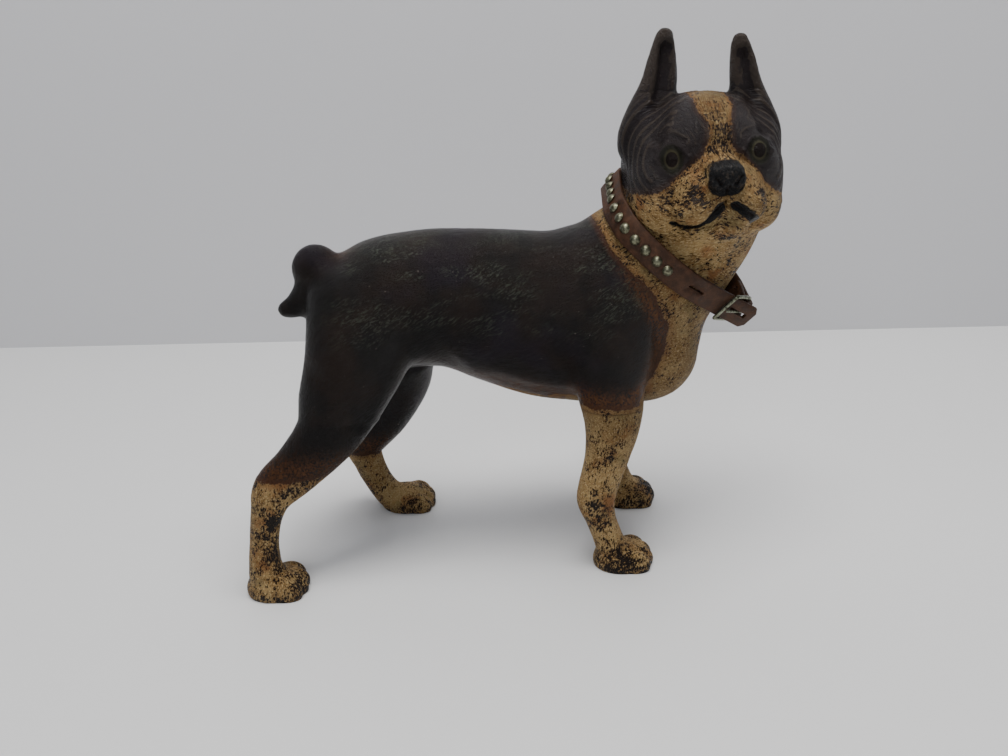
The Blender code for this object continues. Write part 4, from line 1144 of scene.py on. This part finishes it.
def painted_iron():
    made, w = new_material("worn black and cream paint")
    place = w.place()
    stroke = w.field("stroke", "Vector")
    hair = w.use(GROUPS["hair"], Stroke=stroke)
    chipped = w.add(0.43, w.times(w.field("wear"), 0.64))
    chips = w.use(GROUPS["chips"], Place=place, Stroke=stroke, Amount=chipped)
    edge = w.use(GROUPS["edge"], Place=place, Distance=w.field("cream"), Wander=1.2, Blur=0.45)
    on = w.times(edge["Paint"], w.rest(chips["Bare"]))
    brown = w.times(w.between(w.field("cream"), -3.2, -0.4), w.rest(edge["Paint"]))
    brown = w.times(brown, w.rest(w.times(w.field("head"), 0.6)))
    black = w.mix(w.times(brown, 0.75), rusted_black(w, place, stroke, hair["Crest"]), WORN_BROWN)
    under = w.mix(edge["Paint"], black, BARE_IRON)
    colour = w.mix(on, under, edged_cream(w, place, stroke, chips["Edge"]))
    lines = w.use(GROUPS["edge"], Place=place, Distance=w.field("black"), Wander=0.35, Blur=0.25)
    colour = painted_eye(w, w.mix(lines["Paint"], colour, NOSE_BLACK))
    cream_share = w.times(on, w.rest(lines["Paint"]))
    grain = w.use(GROUPS["grain"], Place=place, Scale=1500.0, Coarse=0.8)
    rough = w.blend(lines["Paint"], w.add(0.17, w.times(grain["Height"], 0.06)), 0.34)
    w.surface(Base_Color=hollows_and_crests(w, colour, on), Roughness=w.blend(cream_share, rough, 0.6))
    fine = w.bump(0.35, 0.0001, grain["Height"])
    strokes = w.bump(1.0, 0.00046, hair["Height"], Normal=fine)
    w.surface(Specular_IOR_Level=0.14, Normal=w.bump(0.9, 0.0003, cream_share, Normal=strokes))
    return made


def plain_metal(name, colour, dark, roughness):
    """Tarnished metal with darker patches."""
    made, w = new_material(name)
    place = w.place()
    patch = w.between(w.noise(place, 900, 4, 0.6), 0.45, 0.66)
    roughness = w.add(roughness, w.times(patch, 0.2))
    w.surface(Base_Color=w.mix(patch, colour, dark), Roughness=roughness, Metallic=1.0)
    grain = w.use(GROUPS["grain"], Place=place, Scale=2500.0, Coarse=0.6)
    w.surface(Normal=w.bump(0.35, 0.0001, grain["Height"]))
    return made


def old_leather():
    """Dry brown leather, scuffed lighter and cracked darker."""
    made, w = new_material("dry brown leather")
    place = w.place()
    tone = w.between(w.noise(place, 240, 4, 0.65), 0.35, 0.7)
    colour = w.mix(tone, DARK_LEATHER, LEATHER)
    scuff = w.between(w.noise(place, 1300, 5, 0.7), 0.6, 0.72)
    colour = w.mix(scuff, colour, SCUFF)
    cracks = w.between(w.noise(place, 700, 5, 0.7, 1.2), 0.6, 0.66)
    colour = w.mix(cracks, colour, CRACK)
    w.surface(Base_Color=colour, Roughness=w.add(0.5, w.times(tone, 0.15)), Specular_IOR_Level=0.2)
    grain = w.use(GROUPS["grain"], Place=place, Scale=2200.0, Coarse=1.0)
    w.surface(Normal=w.bump(0.6, 0.00016, grain["Height"]))
    return made


def place_camera():
    lens = bpy.data.cameras.new("photograph view")
    lens.lens = CAMERA_LENS
    lens.sensor_width = 36
    camera = placed("photograph view", lens)
    turn = Matrix.Rotation(math.radians(-CAMERA_HEADING), 4, "Z")
    tip = Matrix.Rotation(math.radians(90 - CAMERA_PITCH), 4, "X")
    roll = Matrix.Rotation(math.radians(CAMERA_ROLL), 4, "Z")
    place = Matrix.Translation(Vector(CAMERA_PLACE) + Vector(FIGURE_SHIFT))
    camera.matrix_world = place @ turn @ tip @ roll
    bpy.context.scene.camera = camera


def soft_lamp(name, place, aim, size, watts, colour):
    lamp = bpy.data.lights.new(name, "AREA")
    lamp.shape = "RECTANGLE"
    lamp.size, lamp.size_y = size
    lamp.energy = watts
    lamp.color = colour
    item = placed(name, lamp)
    item.location = place
    item.rotation_euler = (Vector(aim) - Vector(place)).to_track_quat("-Z", "Y").to_euler()


def stage_surface(name, corners, colour, roughness, seen_from_front_only=False):
    mesh = bpy.data.meshes.new(name)
    mesh.from_pydata([Vector(c) for c in corners], [], [(0, 1, 2, 3)])
    item = placed(name, mesh)
    made, w = new_material(name)
    light = tuple(c * 1.03 for c in colour)
    colour = w.mix(w.noise(w.place(), 3, 2), colour, light)
    w.surface(Base_Color=colour, Roughness=roughness)
    if seen_from_front_only:
        w.surface(Alpha=w.rest(w.node("NewGeometry").outputs["Backfacing"]))
    mesh.materials.append(made)


def build_stage():
    far = STAGE_REACH
    table = ((-far, -far, 0), (far, -far, 0), (far, far, 0), (-far, far, 0))
    stage_surface("table", table, TABLE_GREY, 0.5)
    left, right = (Vector((x, y, 0)) for x, y in WALL_FOOT)
    along = (right - left).normalized() * far
    up = Vector((0, 0, far))
    wall = (left - along, left + along, left + along + up, left - along + up)
    stage_surface("wall", wall, WALL_GREY, 0.8, seen_from_front_only=True)


def light_scene():
    world = bpy.data.worlds.new("soft studio")
    world.use_nodes = True
    sky = world.node_tree.nodes["Background"]
    Wiring(world.node_tree).fill(sky, {"Color": SKY, "Strength": SKY_STRENGTH})
    bpy.context.scene.world = world
    for lamp in LAMPS:
        soft_lamp(*lamp)


def dress_collar():
    leather = old_leather()
    brass = plain_metal("tarnished brass", *BRASS, 0.4)
    dull = plain_metal("dull rivet metal", *RIVET_METAL, 0.38)
    plate = plain_metal("worn plated steel", *PLATED_STEEL, 0.34)
    steel = plain_metal("dark steel", *DARK_STEEL, 0.45)
    dress_solid("collar_strap", "strap_leather", 32, "figure_and_collar", leather)
    for name in sorted(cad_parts):
        if name.startswith("stud_"):
            dress_turned(name, STUD_DOME, brass)
    for name in ("upper_rivet", "lower_rivet"):
        dress_turned(name, RIVET_DOME, dull)
    dress_solid("buckle_frame", "buckle_frame_wire", 180, "frame", plate, levels=1)
    dress_solid("buckle_tongue", "buckle_tongue_wire", 60, "tongue", plate, levels=1)
    dress_solid("assembly_screw", "slotted_screw", 30, "figure_and_collar", steel)


def main():
    place_camera()
    build_stage()
    light_scene()
    shared_groups()
    dog = skin_of_dog()
    dog.data.materials.clear()
    dog.data.materials.append(painted_iron())
    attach(dog, "figure_and_collar")
    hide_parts(*CASTINGS)
    dress_collar()


main()
